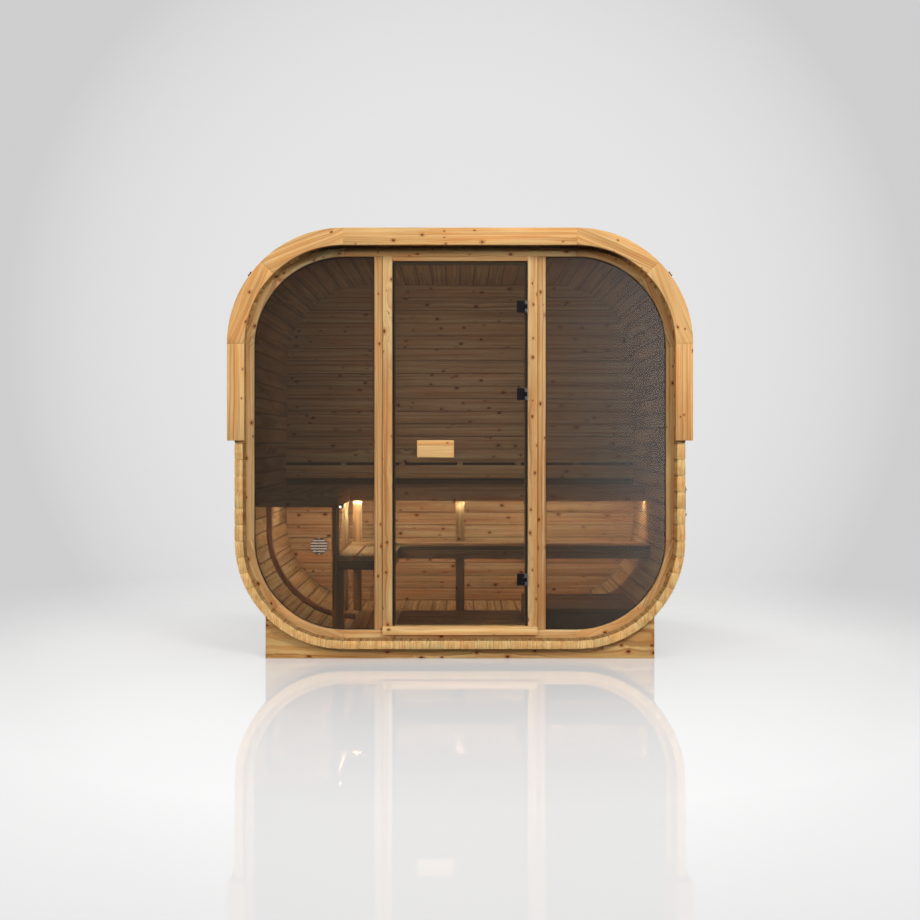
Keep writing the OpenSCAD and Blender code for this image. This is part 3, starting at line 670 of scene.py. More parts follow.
roof_top = Stack("roof_top_timber")
for left, right in strips(-turn_x, turn_x, ROOF_BOARD):
    section = rectangle(left, top_z + BAND_ROOM, right, roof_high.z)
    roof_top.saw(section, "y", full_length, edge=LARGE_EDGE)
roof_top.join(roof_wood, "roof_wood", ["roof_top"])

roof_flanks = Stack("roof_flanks_timber")
for side, start in ((-1, 90), (1, 0)):
    over, under = (arc(side * turn_x, turn_z, r, start, start + 90, ROOF_STEPS) for r in (roof_r, roof_r - board_t))
    for corners in wedges(over, under):
        roof_flanks.saw(corners, "y", full_length, edge=LARGE_EDGE)
    inside, outside = sorted((side * flank_x, side * (flank_x - board_t)))
    for bottom, top in strips(eaves_z, turn_z, ROOF_BOARD):
        roof_flanks.saw(rectangle(inside, bottom, outside, top), "y", full_length, edge=LARGE_EDGE)
roof_flanks.join(roof_wood, "roof_wood", ["roof_flanks"])

# %% [markdown]
# ## The fascia
# Pale boards hide the ends of the roof cover. The straight ones are plain. The corners are band-sawn from wide
# boards, two to a corner, so their grain runs straight along the chord and is cut off by the curve. That is why
# the fibres are given as a direction of their own here.

# %% The fascia
PILES = {"fascia_top_boards": 3238, "fascia_side_boards": 341}
SMOOTH_STEPS = 16
for node, pile in PILES.items():
    lay_boards(node, fascia_wood, "fascia_wood", LARGE_EDGE, sawn="quarter", pile=pile)
fascia_low, fascia_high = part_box("fascia_upper_arcs")
fascia_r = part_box("fascia_top_boards")[1].z - turn_z
fascia_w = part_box("fascia_top_boards")[1].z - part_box("fascia_top_boards")[0].z


def saw_arc(stack, cx, cz, radii, start, span, steps):
    """An eighth of a ring. Radii are those of the outside and the inside, and steps are theirs too."""
    outside, inside = (arc(cx, cz, r, start, start + 45, n) for r, n in zip(radii, steps))
    chord = outside[-1] - outside[0]
    stack.saw([*outside, *reversed(inside)], "y", span, fibres=(chord.x, 0, chord.y), edge=LARGE_EDGE)


for node, starts in (("fascia_lower_arcs", (0, 135)), ("fascia_upper_arcs", (45, 90))):
    stack = Stack(node + "_timber", "rift")
    for start in starts:
        cx = turn_x if start < 90 else -turn_x
        for span in ((fascia_low.y, -half_len), (half_len, fascia_high.y)):
            saw_arc(stack, cx, turn_z, (fascia_r, fascia_r - fascia_w), start, span, (SMOOTH_STEPS, SMOOTH_STEPS))
    stack.join(fascia_wood, "fascia_wood", [node])

# %% [markdown]
# ## The back wall
# Horizontal boards fill the back end. Each is a strip of the shell's inner outline, so the boards near the floor
# and the ceiling come out shorter, with slanted ends. The grain runs across, while the section is carried from
# front to back. Indoors the wall is nearly black under and between the backrest boards, where hardly any light
# falls, so two dark bands of painted shade with soft edges are laid over the wood there.

# %% The back wall
WALL_BOARD, WALL_EDGE = 0.080, 0.0030
wall_low, wall_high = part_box("back_wall")
back_wall = Stack("back_wall_timber", "quarter", grooved=V_JOINT)
for bottom, top in strips(wall_low.z, wall_high.z, WALL_BOARD):
    strip = clip(rectangle(wall_low.x, bottom, wall_high.x, top), inner)
    back_wall.saw(strip, "y", (wall_low.y, wall_high.y), fibres=AXES["x"], edge=WALL_EDGE)
back_wall.join(wall_wood, "wall_wood", ["back_wall"])

# %% The shade behind the backrest
BAND_SHADE = 0.78
rest_boards = solids_of("backrest_boards")
seat_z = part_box("upper_slats")[1].z
shadowed = Recipe(wall_wood)
_, depth_in, height_in = shadowed.split(shadowed.place())
indoors = shadowed.math("LESS_THAN", depth_in, (wall_low.y + wall_high.y) / 2)
bands = []
for under, over in ((seat_z, rest_boards[0][0].z), (rest_boards[0][1].z, rest_boards[1][0].z)):
    above = shadowed.remap(height_in, under - 0.010, under - 0.004)
    bands.append(shadowed.times(above, shadowed.remap(height_in, over + 0.004, over - 0.002)))
# painted shade: dark bands on the wall under and between the backrest boards
painted_backrest_shade = shadowed.times(shadowed.math("MAXIMUM", *bands), shadowed.times(indoors, BAND_SHADE))
shadowed.cover(painted_backrest_shade, colour(34, 22, 14))
print("shaded bands", len(bands))

# %% [markdown]
# ## The front frame
# The frame follows the inside of the shell. Rails and stiles are straight, and each corner is sawn from two
# blocks: straight steps outside, where it meets the staves, and a true arc inside, where it holds the glass. The
# mullions, and later the door's head, are of slightly darker wood than the rest of the frame.

# %% The front frame
FRAME_EDGE = 0.003
rails = solids_of("frame_rails")
frame_low, frame_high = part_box("frame_rails")
open_low = rails[0][1].z
frame_w = open_low - frame_low.z
open_r = in_r - frame_w
for node in ("frame_rails", "frame_stiles"):
    lay_boards(node, frame_wood, "frame_wood", LARGE_EDGE, sawn="quarter")
corners = Stack("frame_corners_timber")
for cx, cz, start in CORNERS:
    for half in (0, 45):
        saw_arc(corners, cx, cz, (in_r, open_r), start + half, (frame_low.y, frame_high.y),
                (CORNER_STEPS // 2, SMOOTH_STEPS))
corners.join(frame_wood, "frame_wood", ["frame_corners"])
lay_boards("mullions", mullion_wood, "frame_wood", FRAME_EDGE, sawn="quarter")

# %% [markdown]
# ## The door frame
# Jambs, head and sill make the door's own frame. A thin stop behind the leaf closes the gap round it. Jamb and stop
# are one solid in the construction, and two boards here, because that is how they are made.

# %% The door frame
jamb_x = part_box("hinge_brackets")[1].x
stop_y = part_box("hinge_brackets")[1].y
jamb_low, jamb_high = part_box("door_jambs")
stop_w = jamb_x - min(low.x for low, high in solids_of("door_jambs") if low.x > 0)
head_low, head_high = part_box("door_head")
door_top = head_low.z + stop_w
jambs = Stack("door_jambs_timber")
jamb_and_stop = ((jamb_x, jamb_high.x, jamb_low.y, jamb_high.z), (jamb_x - stop_w, jamb_x, stop_y, door_top))
for side in (-1, 1):
    for x0, x1, y0, z1 in jamb_and_stop:
        left, right = sorted((side * x0, side * x1))
        saw_box(jambs, Vector((left, y0, jamb_low.z)), Vector((right, jamb_high.y, z1)), FRAME_EDGE)
jambs.join(frame_wood, "frame_wood", ["door_jambs"])

head = Stack("door_head_timber")
saw_box(head, Vector((head_low.x, head_low.y, door_top)), head_high, FRAME_EDGE)
saw_box(head, Vector((head_low.x + stop_w, stop_y, head_low.z)),
        Vector((head_high.x - stop_w, head_high.y, door_top)), LARGE_EDGE)
head.join(mullion_wood, "frame_wood", ["door_head"])

sill_low, sill_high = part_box("door_sill")
sill = Stack("door_sill_timber")
saw_box(sill, sill_low, Vector((sill_high.x, frame_low.y, sill_high.z)), FRAME_EDGE)
saw_box(sill, Vector((sill_low.x, frame_low.y, open_low)), sill_high, LARGE_EDGE)
sill.join(sill_wood, "frame_wood", ["door_sill"])

# %% [markdown]
# ## Bronze glass
# The glass is toughened and tinted through. In the render a thick tinted body would block the lamps inside, because
# light that is refracted can't be aimed at a lamp. So each face is partly see-through instead: its alpha sets how
# much it holds back, its dark colour is the tint, and its gloss mirrors the studio. Very faint streaks in the
# roughness keep it from looking like an empty opening.


# %% Bronze glass
def brighter(tint, by):
    return (*(v * by for v in tint[:3]), 1.0)


def tinted_glass(name, tint, alpha):
    recipe = new_recipe(name)
    wiped = recipe.noise(recipe.place(), (3.0, 3.0, 9.0), 3.0)
    body = recipe.mix(recipe.remap(wiped, 0.3, 0.7), tint, brighter(tint, 1.12))
    recipe.skin(Base_Color=body, Roughness=recipe.remap(wiped, 0.2, 0.8, 0.015, 0.05),
                Alpha=alpha, Specular_IOR_Level=0.3)
    return recipe.owner


def coat_node(node, material):
    """Gives a CAD node its finish."""
    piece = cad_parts[node]
    piece.data.materials.clear()
    piece.data.materials.append(material)
    return piece


HOLDS_BACK = 0.54
glass = tinted_glass("bronze_glass_face", (0.026, 0.023, 0.015, 1.0), HOLDS_BACK)
glass_edge = tinted_glass("bronze_glass_edge", (0.040, 0.038, 0.030, 1.0), 0.92)
for node in ("left_pane", "right_pane"):
    coat_node(node, glass)
print("each pane lets through", round((1 - HOLDS_BACK) ** 2, 2), "of the light")

# %% [markdown]
# ## Glazing seals
# A thin black rubber seal lies on the glass all round each side pane, in front and behind. It draws the fine dark
# line between wood and glass, and its black also stands in for the shade in that gap. Its shape is the outline of
# the opening and a slightly smaller copy, joined to a flat ring.


# %% Glazing seals
def add_piece(name, bm, materials, body="cabin"):
    """Makes a piece of a mesh under construction."""
    mesh = bpy.data.meshes.new(name)
    bm.to_mesh(mesh)
    bm.free()
    for material in materials:
        mesh.materials.append(material)
    return place_piece(name, mesh, body)


def ring_prism(bm, outside, inside, span):
    """A flat ring between two outlines with as many points each, carried along Y."""
    front, back = span
    places = ((outside, front), (inside, front), (inside, back), (outside, back))
    loops = [[bm.verts.new(lift(p, "y", y)) for p in side] for side, y in places]
    count = len(outside)
    for i in range(count):
        j = (i + 1) % count
        for first, second in zip(loops, loops[1:] + loops[:1]):
            bm.faces.new([first[i], first[j], second[j], second[i]])


def pane_outline(side, inset):
    """The outline of a side opening, smaller all round by inset."""
    r = open_r - inset
    curve = [*arc(corner_x, low_z, r, -90, 0, SMOOTH_STEPS), *arc(corner_x, high_z, r, 0, 90, SMOOTH_STEPS)]
    edge = mullion_x + inset
    points = [Vector((edge, curve[0].y)), *curve, Vector((edge, curve[-1].y))]
    return [Vector((side * p.x, p.y)) for p in points]


SEAL, SEAL_T = 0.0028, 0.003
SEAL_PLAY = 0.0003
mullion_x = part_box("mullions")[1].x
pane_low, pane_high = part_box("right_pane")
rubber = new_recipe("seal_rubber")
dust = rubber.noise(rubber.place(), (60.0, 60.0, 60.0), 3.0)
dusty = rubber.mix(rubber.remap(dust, 0.35, 0.7), (0.010, 0.010, 0.010, 1), (0.022, 0.021, 0.020, 1))
rubber.skin(Base_Color=dusty, Roughness=rubber.remap(dust, 0.2, 0.8, 0.6, 0.8))
# the seals are rubber, and their black is also painted shade in the gap between wood and glass
seals = bmesh.new()
for side in (-1, 1):
    for span in ((pane_low.y - SEAL_T, pane_low.y), (pane_high.y, pane_high.y + SEAL_T)):
        ring_prism(seals, pane_outline(side, SEAL_PLAY), pane_outline(side, SEAL), span)
bmesh.ops.recalc_face_normals(seals, faces=seals.faces)
add_piece("glazing_seals_and_gap_shade", seals, [rubber.owner])

# %% [markdown]
# ## The door's seal
# A flat black strip is glued to the stop behind the leaf, on both jambs and, narrower, on the head. The leaf closes
# against it, and it draws the dark edge round the door, so its black also stands in for the shade in the gap round
# the leaf. It is thin, so the leaf still swings clear of it.

# %% The door's seal
STRIP_T = 0.001
STRIP_REACH, HEAD_REACH = 0.011, 0.004
STRIP_PLAY, STRIP_GAP = 0.0005, 0.002
strip_edge = jamb_x - STRIP_PLAY
head_strip_z = door_top - HEAD_REACH
# the strip is rubber, and its black is also painted shade in the gap round the leaf
door_seals_and_gap_shade = bmesh.new()


def add_block(bm, low, high):
    made = bmesh.ops.create_cube(bm, size=1.0)["verts"]
    for v in made:
        v.co = Vector(high[i] if v.co[i] > 0 else low[i] for i in range(3))


for side in (-1, 1):
    left, right = sorted((side * strip_edge, side * (jamb_x - STRIP_REACH)))
    add_block(door_seals_and_gap_shade, (left, stop_y - STRIP_T, sill_high.z), (right, stop_y, head_strip_z - STRIP_GAP))
add_block(door_seals_and_gap_shade, (-strip_edge, stop_y - STRIP_T, head_strip_z), (strip_edge, stop_y, door_top - STRIP_PLAY))
add_piece("door_seals_and_gap_shade", door_seals_and_gap_shade, [rubber.owner])

# %% [markdown]
# ## The door leaf
# The leaf has no frame: it is one sheet of glass with ground edges. Its edges are bevelled and get the duller
# material of ground glass, chosen by the direction that each face looks in.

# %% The door leaf
GROUND_EDGE = 0.0010
FLAT_ON = 0.99
leaf_low, leaf_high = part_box("door_leaf")
leaf_section = rectangle(leaf_low.x, leaf_low.z, leaf_high.x, leaf_high.z)
leaf_bm = prism(leaf_section, "y", (leaf_low.y, leaf_high.y), GROUND_EDGE)
for face in leaf_bm.faces:
    face.material_index = 0 if abs(face.normal.y) > FLAT_ON else 1
leaf = add_piece("door_leaf_glass", leaf_bm, [glass, glass_edge], "door")
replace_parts(leaf, "door_leaf")
print("leaf", [round((leaf_high - leaf_low)[i], 3) for i in (0, 2)], "m")

# %% [markdown]
# ## The handle
# Two flat wooden blocks clamp the glass between them. They are the only piece that a hand touches, so their edges
# are rounded more than any other.

# %% The handle
HANDLE_EDGE = 0.004
lay_boards("door_handle", handle_wood, "handle_wood", HANDLE_EDGE, body="door")

# %% [markdown]
# ## Seats, floor and rib
# Seats are slats on aprons and posts. Their boards are read from the frame one by one, cut to the shell where they
# meet it, and rounded along the edges that people sit on. The lower seats are worn smooth, so their wood is
# glossier, and the joints between their slats are darkened. The upper seats, and what lies in the shade, are of a
# darker wood that paints that shade in. The curved rib on the left wall is of a darker wood too, and is sawn in two
# arcs and a straight piece.

# %% Seats, floor and rib
SEAT_EDGE = 0.003
lay_boards("lower_slats", bench_wood, "bench_wood", SEAT_EDGE, saw_in_shell, grooved=SIDES)
lay_boards("backrest_boards", bench_wood, "bench_wood", SEAT_EDGE, saw_in_shell)
lay_boards("upper_slats", painted_shade_wood, "bench_wood", SEAT_EDGE, saw_in_shell)
for node in ("upper_aprons", "upper_side_apron", "lower_aprons", "lower_side_rails", "lower_posts"):
    lay_boards(node, painted_shade_wood, "bench_wood", way=saw_in_shell)
lay_boards("upper_posts", post_wood, "bench_wood", way=saw_in_shell)
for node in ("bench_bearers", "backrest_battens"):
    lay_boards(node, bench_wood, "bench_wood", way=saw_in_shell)
for node in ("floor_rack_runners", "floor_rack_slats", "deck_boards", "deck_risers"):
    lay_boards(node, floor_wood, "floor_wood", LARGE_EDGE, saw_in_shell)

RIB_T = 0.030
rib_low, rib_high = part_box("wall_rib")
rib = Stack("wall_rib_timber", "quarter")
for half in (0, 45):
    saw_arc(rib, -corner_x, low_z, (in_r, in_r - RIB_T), 180 + half, (rib_low.y, rib_high.y),
            (CORNER_STEPS // 2, SMOOTH_STEPS))
saw_box(rib, Vector((-in_half, rib_low.y, low_z)), Vector((-in_half + RIB_T, rib_high.y, rib_high.z)))
rib.join(rib_wood, "bench_wood", ["wall_rib"])

# %% [markdown]
# ## Metal
# Metal parts are small, and their solids already have the right shape. They only get softened edges, which a
# modifier makes without touching the mesh, and a finish: brushed steel for the bands, dark steel for their
# tensioners, duller steel for the hinge knuckles, and a black coating for plates and staples.


# %% Metal
def metal(name, tint, shine, metallic, mirror=0.5):
    recipe = new_recipe(name)
    brushed = recipe.noise(recipe.place(), (140.0, 140.0, 900.0), 3.0)
    worn = recipe.noise(recipe.place(), (25.0, 25.0, 25.0), 3.0)
    body = recipe.mix(recipe.remap(worn, 0.35, 0.65), tint, brighter(tint, 0.8))
    bump = recipe.node("Bump", {"Height": brushed, "Strength": 0.15, "Distance": 0.0002}).outputs[0]
    recipe.skin(Base_Color=body, Roughness=recipe.remap(brushed, 0.2, 0.8, shine - 0.08, shine + 0.1),
                Metallic=metallic, Normal=bump, Specular_IOR_Level=mirror)
    return recipe.owner


METAL_EDGE, BAND_EDGE = 0.0006, 0.0002
MODEL_WELD = 0.00002


def soften(node, material, width=METAL_EDGE):
    """Gives a CAD node a finish, and planes its edges with modifiers that leave its mesh alone."""
    piece = coat_node(node, material)
    weld = piece.modifiers.new("weld", "WELD")
    weld.merge_threshold = MODEL_WELD
    bevel = piece.modifiers.new("bevel", "BEVEL")
    bevel.width = width
    bevel.segments = 2
    bevel.limit_method = "ANGLE"
    bevel.angle_limit = math.radians(40)


brushed_steel = metal("brushed_steel", (0.52, 0.52, 0.51, 1.0), 0.38, 1.0)
dark_steel = metal("dark_steel", (0.16, 0.16, 0.165, 1.0), 0.42, 0.9)
black_coat = metal("black_coat", (0.005, 0.005, 0.006, 1.0), 0.45, 0.0, 0.10)
hinge_steel = metal("hinge_steel", (0.13, 0.13, 0.135, 1.0), 0.42, 1.0)

soften("steel_bands", brushed_steel, BAND_EDGE)
soften("band_tensioners", dark_steel)
soften("hinge_brackets", hinge_steel)
for node in ("roof_staples", "hinge_plates"):
    soften(node, black_coat)
print("metal pieces softened")

# %% [markdown]
# ## The vent
# A round vent closes the air hole low in the back wall. Seven slats lean back inside a flat ring, so their faces
# catch the light from above and the slots between them stay dark. The slats could be an array of one board, but
# each is as long as the ring is wide at its height, so a loop makes one short prism after another. Their pale
# coat turns dark toward the wall, a painted shade behind the slats, and the ring has the tone of the wood.

# %% The vent's coat
VENT_RIM = 0.005
RIM_BLUR = 0.0005
COAT_ENDS = (0.0055, 0.0072)
vent_low, vent_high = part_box("vent_grille")
vent_middle = (vent_low + vent_high) / 2
vent_r = (vent_high.x - vent_low.x) / 2
hole_r = vent_r - VENT_RIM
vent_coat = metal("vent_coat", (0.97, 0.96, 0.94, 1.0), 0.40, 0.0)
coat = Recipe(vent_coat)
painted_slat_shade = coat.remap(coat.split(coat.place())[1], *(vent_low.y + depth for depth in COAT_ENDS))
from_middle = coat.vector("SUBTRACT", coat.place(), tuple(vent_middle))
reach = coat.vector("LENGTH", coat.vector("MULTIPLY", from_middle, (1.0, 0.0, 1.0)))
# painted shade: the slats' pale coat darkens toward the wall
coat.cover(painted_slat_shade, colour(40, 34, 28))
coat.cover(coat.remap(reach, hole_r - RIM_BLUR, hole_r + RIM_BLUR), colour(176, 128, 88))
print("vent", round(2000 * vent_r), "mm across")

# %% The vent's ring and slats
SLATS, SLAT_PITCH = 7, 0.0172
SLAT_RISE, SLAT_RUN, SLAT_T = 0.0100, 0.0050, 0.0014
SLAT_IN, SLAT_EDGE = 0.0008, 0.0003
RING_EDGE, RING_SKIN = 0.0005, 0.001


def disc(r, steps):
    return arc(vent_middle.x, vent_middle.z, r, 0, 360, steps)[:-1]


vent = bmesh.new()
ring_prism(vent, disc(vent_r, 64), disc(hole_r, 64), (vent_low.y, vent_high.y))
bmesh.ops.recalc_face_normals(vent, faces=vent.faces)
ease(vent, RING_EDGE)
front, back = vent_low.y + SLAT_IN, vent_low.y + SLAT_IN + SLAT_RUN
for i in range(SLATS):
    rise = (i - (SLATS - 1) / 2) * SLAT_PITCH
    low, high = vent_middle.z + rise - SLAT_RISE / 2, vent_middle.z + rise + SLAT_RISE / 2
    half = min(math.sqrt(hole_r ** 2 - max(abs(rise) - SLAT_RISE / 2, 0) ** 2),
               math.sqrt((vent_r - RING_SKIN) ** 2 - (abs(rise) + SLAT_RISE / 2) ** 2))
    section = [(front, low), (back, high), (back + SLAT_T, high), (front + SLAT_T, low)]
    slat = prism(section, "x", (vent_middle.x - half, vent_middle.x + half), SLAT_EDGE)
    carrier = bpy.data.meshes.new("slat")
    slat.to_mesh(carrier)
    slat.free()
    vent.from_mesh(carrier)
    bpy.data.meshes.remove(carrier)
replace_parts(add_piece("vent_louvres", vent, [vent_coat]), "vent_grille")

# %% [markdown]
# ## The vent's screen and the hinge screws
# A vent looks dark between its louvres because a fly screen lies behind them, so a thin black disc closes it. The
# hinge plates clamp the glass with two button-head screws each. A screw is a low dome with a six-sided socket, made
# as a few rings of points round its axis.

# %% The vent's screen
SCREEN_T = 0.0006
netting = new_recipe("fly_screen")
wires = netting.node("TexChecker", {"Vector": netting.place(), "Scale": 700.0, "Color1": (0.004, 0.004, 0.004, 1),
                                    "Color2": (0.018, 0.018, 0.019, 1)}).outputs["Color"]
netting.skin(Base_Color=wires, Roughness=0.7)
screen = prism(disc(vent_r - VENT_RIM / 2, 48), "y", (vent_high.y - SCREEN_T, vent_high.y), 0)
add_piece("vent_screen", screen, [netting.owner])

# %% The hinge screws
SCREW_R, SCREW_STEPS = 0.0045, 18
SCREW_PROFILE = ((1.0, 0.0), (1.0, 0.35), (0.82, 0.75), (0.55, 0.85))
SCREW_FLAT = 0.55
SOCKET_R, SOCKET_DEPTH = 0.45, 0.45
SCREW_PLACES = (0.28, 0.72)


def screw(bm, at, out):
    """A button-head screw on a face that looks along Y, out of it by out times its height."""
    rings = []
    turns = [2 * math.pi * i / SCREW_STEPS for i in range(SCREW_STEPS)]
    top = SCREW_PROFILE[-1][1]
    for r, rise in (*SCREW_PROFILE, (SOCKET_R, top), (SOCKET_R, top - SOCKET_DEPTH)):
        reach = [r * SCREW_R for _ in turns]
        if r == SOCKET_R:
            reach = [r * SCREW_R / math.cos((a + math.pi / 6) % (math.pi / 3) - math.pi / 6) for a in turns]
        height = out * rise * SCREW_R * SCREW_FLAT
        points = [Vector((q * math.cos(a), height, q * math.sin(a))) for q, a in zip(reach, turns)]
        rings.append([bm.verts.new(at + point) for point in points])
    for low_ring, high_ring in zip(rings, rings[1:]):
        for i in range(SCREW_STEPS):
            j = (i + 1) % SCREW_STEPS
            bm.faces.new([low_ring[i], low_ring[j], high_ring[j], high_ring[i]])
    bm.faces.new(rings[-1])


screws = bmesh.new()
for low, high in solids_of("hinge_plates"):
    outward = -1 if high.y < leaf_high.y else 1
    face = low.y if outward < 0 else high.y
    for share in SCREW_PLACES:
        screw(screws, Vector(((low.x + high.x) / 2, face, low.z + share * (high.z - low.z))), outward)
bmesh.ops.recalc_face_normals(screws, faces=screws.faces)
add_piece("hinge_screws", screws, [black_coat], "door")

# %% [markdown]
# ## The warm light under the seats
# Strips behind the upper aprons shine down, so that the lamps themselves stay hidden and the space under the
# seats glows. The strip is a glowing solid. A render finds light faster from an area lamp than from a glowing
# mesh, so a lamp as long as the strip hangs just below it and does the lighting.

# %% The warm light
WARM = (1.0, 1.0, 0.94)
glow = new_recipe("strip_glow")
diodes = glow.noise(glow.place(), (40.0, 40.0, 40.0), 1.0)
glow.skin(Base_Color=(0.9, 0.82, 0.68, 1.0), Roughness=0.4, Emission_Strength=6.0,
          Emission_Color=glow.mix(glow.remap(diodes, 0.3, 0.7), (1.0, 0.84, 0.62, 1.0), (1.0, 0.76, 0.50, 1.0)))
coat_node("light_strips", glow.owner)


def lamp(name, at, aim, size, power, tint=(1.0, 1.0, 1.0), beam=180):
    """A soft rectangular lamp that looks from one point to another. Cameras and mirrors don't see it."""
    data = bpy.data.lights.new(name, "AREA")
    data.shape = "RECTANGLE"
    data.size, data.size_y = size
    data.energy = power
    data.color = tint
    data.spread = math.radians(beam)
    made = show(bpy.data.objects.new(name, data))
    made.location = at
    made.rotation_euler = (Vector(aim) - Vector(at)).to_track_quat("-Z", "Y").to_euler()
    made.visible_camera = False
    made.visible_glossy = False
    return made


GLOW_PER_METRE, SIDE_GLOW = 6.5, 7.4
STRIP_W = 0.007
LAMP_DROP, LAMP_BACK = 0.006, 0.012
WALL_GAP = 0.03
SIDE_TILT, BACK_SLOPE = 52, 0.85
DOWN = Vector((0, 0, -1))
for i, (low, high) in enumerate(solids_of("light_strips")):
    along_y = high.y - low.y > high.x - low.x
    if not along_y and high.x < 0:
        low.x = -in_half + WALL_GAP
    length = (high.y - low.y) if along_y else (high.x - low.x)
    ahead = Vector((-1, 0, 0)) if along_y else Vector((0, 1, 0))
    at = Vector(((low.x + high.x) / 2, (low.y + high.y) / 2, low.z - LAMP_DROP)) - ahead * LAMP_BACK
    size = (STRIP_W, length) if along_y else (length, STRIP_W)
    power = length * (SIDE_GLOW if along_y else GLOW_PER_METRE)
    strip = lamp("strip_%d" % i, at, at + ahead + DOWN * BACK_SLOPE, size, power, WARM)
    if along_y:
        strip.rotation_euler = (0, math.radians(SIDE_TILT), 0)
    print("strip", i, [round(v, 3) for v in at], "long", round(length, 3))

# %% [markdown]
# ## Where the strips end
# A strip of diodes is brightest close to it. Where it passes a post or stops at the wall, its last diodes wash the
# wood with a pale patch that fades downward. Small lamps of their own do that, since the long lamps spread their
# light evenly. Two more, long and narrow, wash the lower seats from above. One diode shows as a bright dot behind
# the front post, so it is a small glowing cap in a black holder.

# %% Where the strips end
POST_GLOW, POST_REACH = (0.012, 0.46, 0.075), (0.095, 0.115, 0.030)
POST_AIM, WALL_AIM = Vector((0, 0.22, -0.24)), Vector((0.2, 0.0, -0.20))
POST_WARM, WALL_WARM = (1.0, 0.98, 0.86), (1.0, 0.96, 0.88)
END_GLOW, SIDE_WASH, BACK_WASH = 0.30, 1.5, 1.2
END_INSET = 0.042
WASH_DROP, WASH_W, WASH_TILT = 0.008, 0.012, -45
SEAT_MARGIN = 0.05
posts = [(low, high) for low, high in solids_of("upper_posts") if high.y > 0]
apron_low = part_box("upper_aprons")[0]
lamp_z, wash_z = apron_low.z - LAMP_DROP, apron_low.z - WASH_DROP
for i, ((low, high), power, reach) in enumerate(zip(posts, POST_GLOW, POST_REACH)):
    spot = Vector(((low.x + high.x) / 2, low.y - reach, lamp_z))
    size = ((high.x - low.x) * 0.7, 0.008)
    lamp("post_%d" % i, spot, spot + POST_AIM, size, power, POST_WARM, 95)
end = Vector((in_half - END_INSET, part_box("light_strips")[1].y, lamp_z))
lamp("wall_end", end, end + WALL_AIM, (0.010, 0.010), END_GLOW, WALL_WARM)
seat_low, seat_high = solids_of("lower_slats")[0]
front_post = solids_of("upper_posts")[1][1]
over = Vector((front_post.x + 0.006, (seat_low.y + SEAT_MARGIN + seat_high.y) / 2, wash_z))
size = (WASH_W, seat_high.y - seat_low.y - SEAT_MARGIN)
wash = lamp("side_wash", over, over + DOWN, size, SIDE_WASH, WARM, 95)
wash.rotation_euler = (0, math.radians(WASH_TILT), 0)
over = Vector((in_half / 3, apron_low.y - WASH_W, wash_z))
lamp("back_wash", over, over + DOWN, (in_half * 1.2, WASH_W), BACK_WASH, WARM, 110)
print("lit posts", [round(low.x, 3) for low, high in posts])

# %% The diode behind the front post
DIODE_R = 0.0045
HOLDER = ((-0.001, 0.000, -0.008), (0.022, 0.006, 0.012))
CAP = (0.005, -0.001, -0.002)
root = Vector((front_post.x, front_post.y + 0.004, apron_low.z))
holder = bmesh.new()
add_block(holder, *(root + Vector(corner) for corner in HOLDER))
add_piece("diode_holder", holder, [black_coat])
diode = bmesh.new()
bmesh.ops.create_uvsphere(diode, u_segments=16, v_segments=10, radius=DIODE_R)
for v in diode.verts:
    v.co += root + Vector(CAP)
cap_glow = new_recipe("diode_glow")
cloudy = cap_glow.noise(cap_glow.place(), (400.0, 400.0, 400.0), 1.0)
cap_glow.skin(Base_Color=(0.9, 0.9, 0.86, 1.0), Roughness=0.3, Emission_Strength=26.0,
              Emission_Color=cap_glow.mix(cloudy, (1.0, 0.98, 0.92, 1.0), (1.0, 0.94, 0.84, 1.0)))
add_piece("diode", diode, [cap_glow.owner])

# %% [markdown]
# ## The studio floor
# The floor is a pale disc that fades into the surroundings, so that no horizon shows. It keeps the shadow and a
# faint mirror image of the sauna. To the camera it also glows a little, through Light Path, so that it is as pale
# as the surroundings without throwing more light on the wood.

# %% The studio floor
FLOOR_MIDDLE = (0.0, -1.2, 0.0)
FLOOR_REACH = 5.0
FLOOR_FADE = (2.2, 4.8)
BOUNCE, GREY = 0.012, 0.56
GLOW_NEAR, GLOW_FAR = 0.34, 0.20
WHITE = (1, 1, 1, 1)
floor_bm = bmesh.new()
bmesh.ops.create_circle(floor_bm, cap_ends=True, segments=96, radius=FLOOR_REACH)
floor_mesh = bpy.data.meshes.new("studio_floor")
floor_bm.to_mesh(floor_mesh)
floor_bm.free()
floor = show(bpy.data.objects.new("studio_floor", floor_mesh))
floor.location = FLOOR_MIDDLE

paint = new_recipe("studio_paint")
paint.tree.nodes.remove(paint.tree.nodes["Principled BSDF"])
away = paint.vector("LENGTH", paint.place())
seen = paint.node("LightPath").outputs["Is Camera Ray"]
matte = paint.node("BsdfDiffuse", {"Color": paint.remap(seen, 0.0, 1.0, BOUNCE, GREY)})
strength = paint.times(paint.remap(away, 1.2, 4.2, GLOW_NEAR, GLOW_FAR), seen)
shine = paint.node("Emission", {"Color": WHITE, "Strength": strength})
both = paint.node("AddShader", {0: matte.outputs[0], 1: shine.outputs[0]})
mirror = paint.node("BsdfGlossy", {"Color": WHITE, "Roughness": 0.03})
glancing = paint.node("Fresnel", {"IOR": 1.45})
polished = paint.node("MixShader", {0: glancing.outputs[0], 1: both.outputs[0], 2: mirror.outputs[0]})
clear = paint.node("BsdfTransparent")
fading = paint.node("MixShader", {0: paint.remap(away, *FLOOR_FADE), 1: polished.outputs[0], 2: clear.outputs[0]})
paint.feed(paint.tree.nodes["Material Output"].inputs["Surface"], fading.outputs[0])
floor_mesh.materials.append(paint.owner)
print("floor", 2 * FLOOR_REACH, "m across")

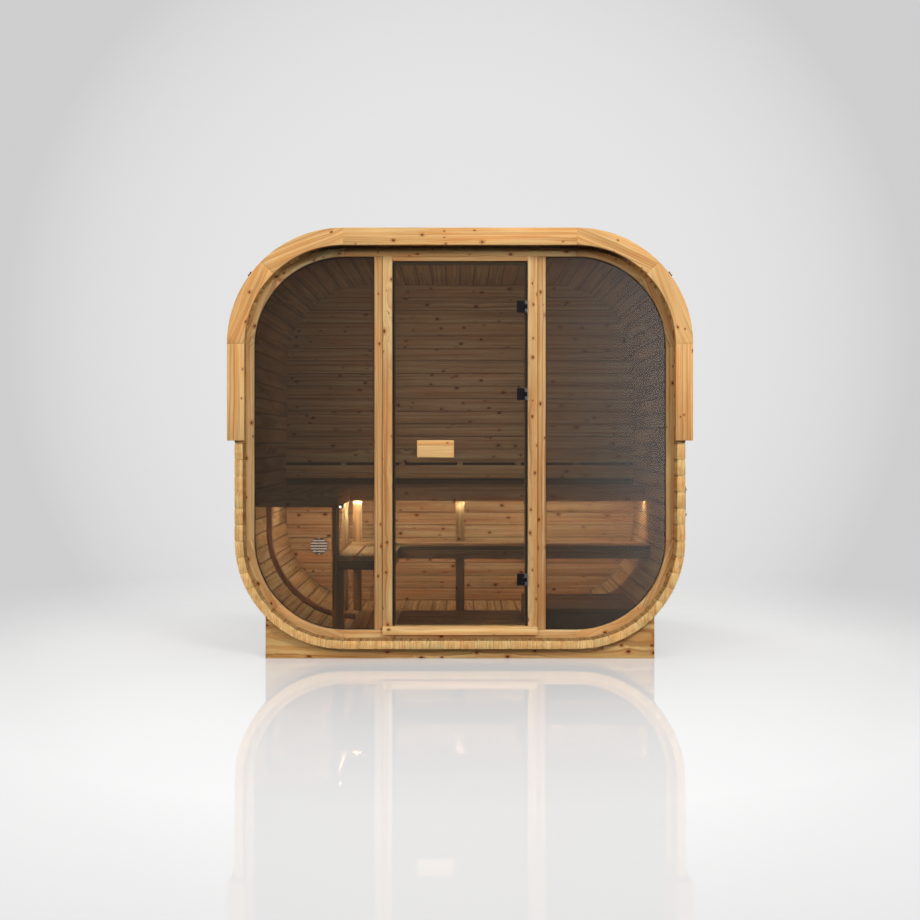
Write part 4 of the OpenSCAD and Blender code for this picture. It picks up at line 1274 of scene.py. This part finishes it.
# %% [markdown]
# ## The studio's surroundings and lamps
# The world answers each kind of ray with something else. The camera, and mirror-like rays that leave to the back,
# see a pale grey that is a little darker away from the middle. Mirror-like rays that leave to the front see a
# dimmer room with a wide bright window in it, to the right: that is the haze on the right-hand glass. Light that
# falls on the sauna comes from a dim sky, which is brighter above, from six large soft lamps, and from a weak lamp
# indoors.

# %% The studio's surroundings
HORIZON = 0.09
BACKDROP, DARKEST = 0.79, 0.17
ROOM, WINDOW = 0.52, 5.0
world = bpy.data.worlds.new("studio")
bpy.context.scene.world = world
sky = Recipe(world)
right, back, above = sky.split(sky.node("NewGeometry").outputs["Position"])
ray = sky.node("LightPath").outputs
seen = sky.math("MAXIMUM", ray["Is Camera Ray"],
                sky.math("MAXIMUM", ray["Is Glossy Ray"], ray["Is Transmission Ray"]))

ahead = sky.math("MAXIMUM", back, 0.05)
across = sky.math("DIVIDE", right, ahead)
up = sky.math("SUBTRACT", sky.math("DIVIDE", above, ahead), HORIZON)
off_middle = sky.math("SQRT", sky.math("ADD", sky.times(across, across), sky.times(up, up)))
darker = sky.times(sky.math("POWER", off_middle, 4.0), 9.0)
grey = sky.math("SUBTRACT", BACKDROP, sky.math("MINIMUM", darker, DARKEST))

behind = sky.math("MAXIMUM", sky.times(back, -1.0), 0.05)
sideways = sky.math("DIVIDE", right, behind)
window = sky.times(sky.math("POWER", sky.remap(sideways, 0.040, 0.175), 1.5),
                   sky.remap(sky.math("DIVIDE", above, behind), -0.15, -0.02, 0.45, 1.0),
                   sky.remap(sideways, 0.75, 0.45))
room = sky.math("ADD", ROOM, sky.times(window, WINDOW))
front = sky.times(sky.math("LESS_THAN", back, 0.0), ray["Is Glossy Ray"])
mirrored = sky.math("ADD", sky.times(grey, sky.math("SUBTRACT", 1.0, front)), sky.times(room, front))
soft = sky.remap(above, -0.05, 0.60, 0.01, 0.40)
level = sky.math("ADD", sky.times(seen, mirrored), sky.times(sky.math("SUBTRACT", 1.0, seen), soft))
background = sky.tree.nodes["Background"]
sky.feed(background.inputs["Strength"], level)
background.inputs["Color"].default_value = WHITE
print("backdrop", BACKDROP, "of white")

# %% The studio's lamps
LAMPS = {
    "key": ((3.5, -7.3, 5.6), (0, -0.6, 1.1), (2.6, 2.0), 365),
    "side": ((7.0, -5.6, 2.6), (0, -0.8, 1.6), (2.0, 0.7), 108),
    "front": ((-1.6, -8.0, 3.5), (0, -0.8, 1.1), (4.0, 1.2), 82),
    "fill": ((-5.4, -6.2, 3.2), (0, -0.4, 1.1), (2.4, 1.4), 172),
    "top": ((0.5, 0.4, 6.5), (0, 0.4, 1.0), (4.0, 3.0), 130),
    "rear": ((-2.5, 6.0, 4.5), (0, 0, 1.0), (3.5, 3.0), 230),
    "room": ((0.0, -0.66, 1.42), (0.0, 0.72, 1.46), (0.8, 0.8), 5.7, (1.0, 0.97, 1.0), 116),
}
for name, settings in LAMPS.items():
    lamp(name, *settings)
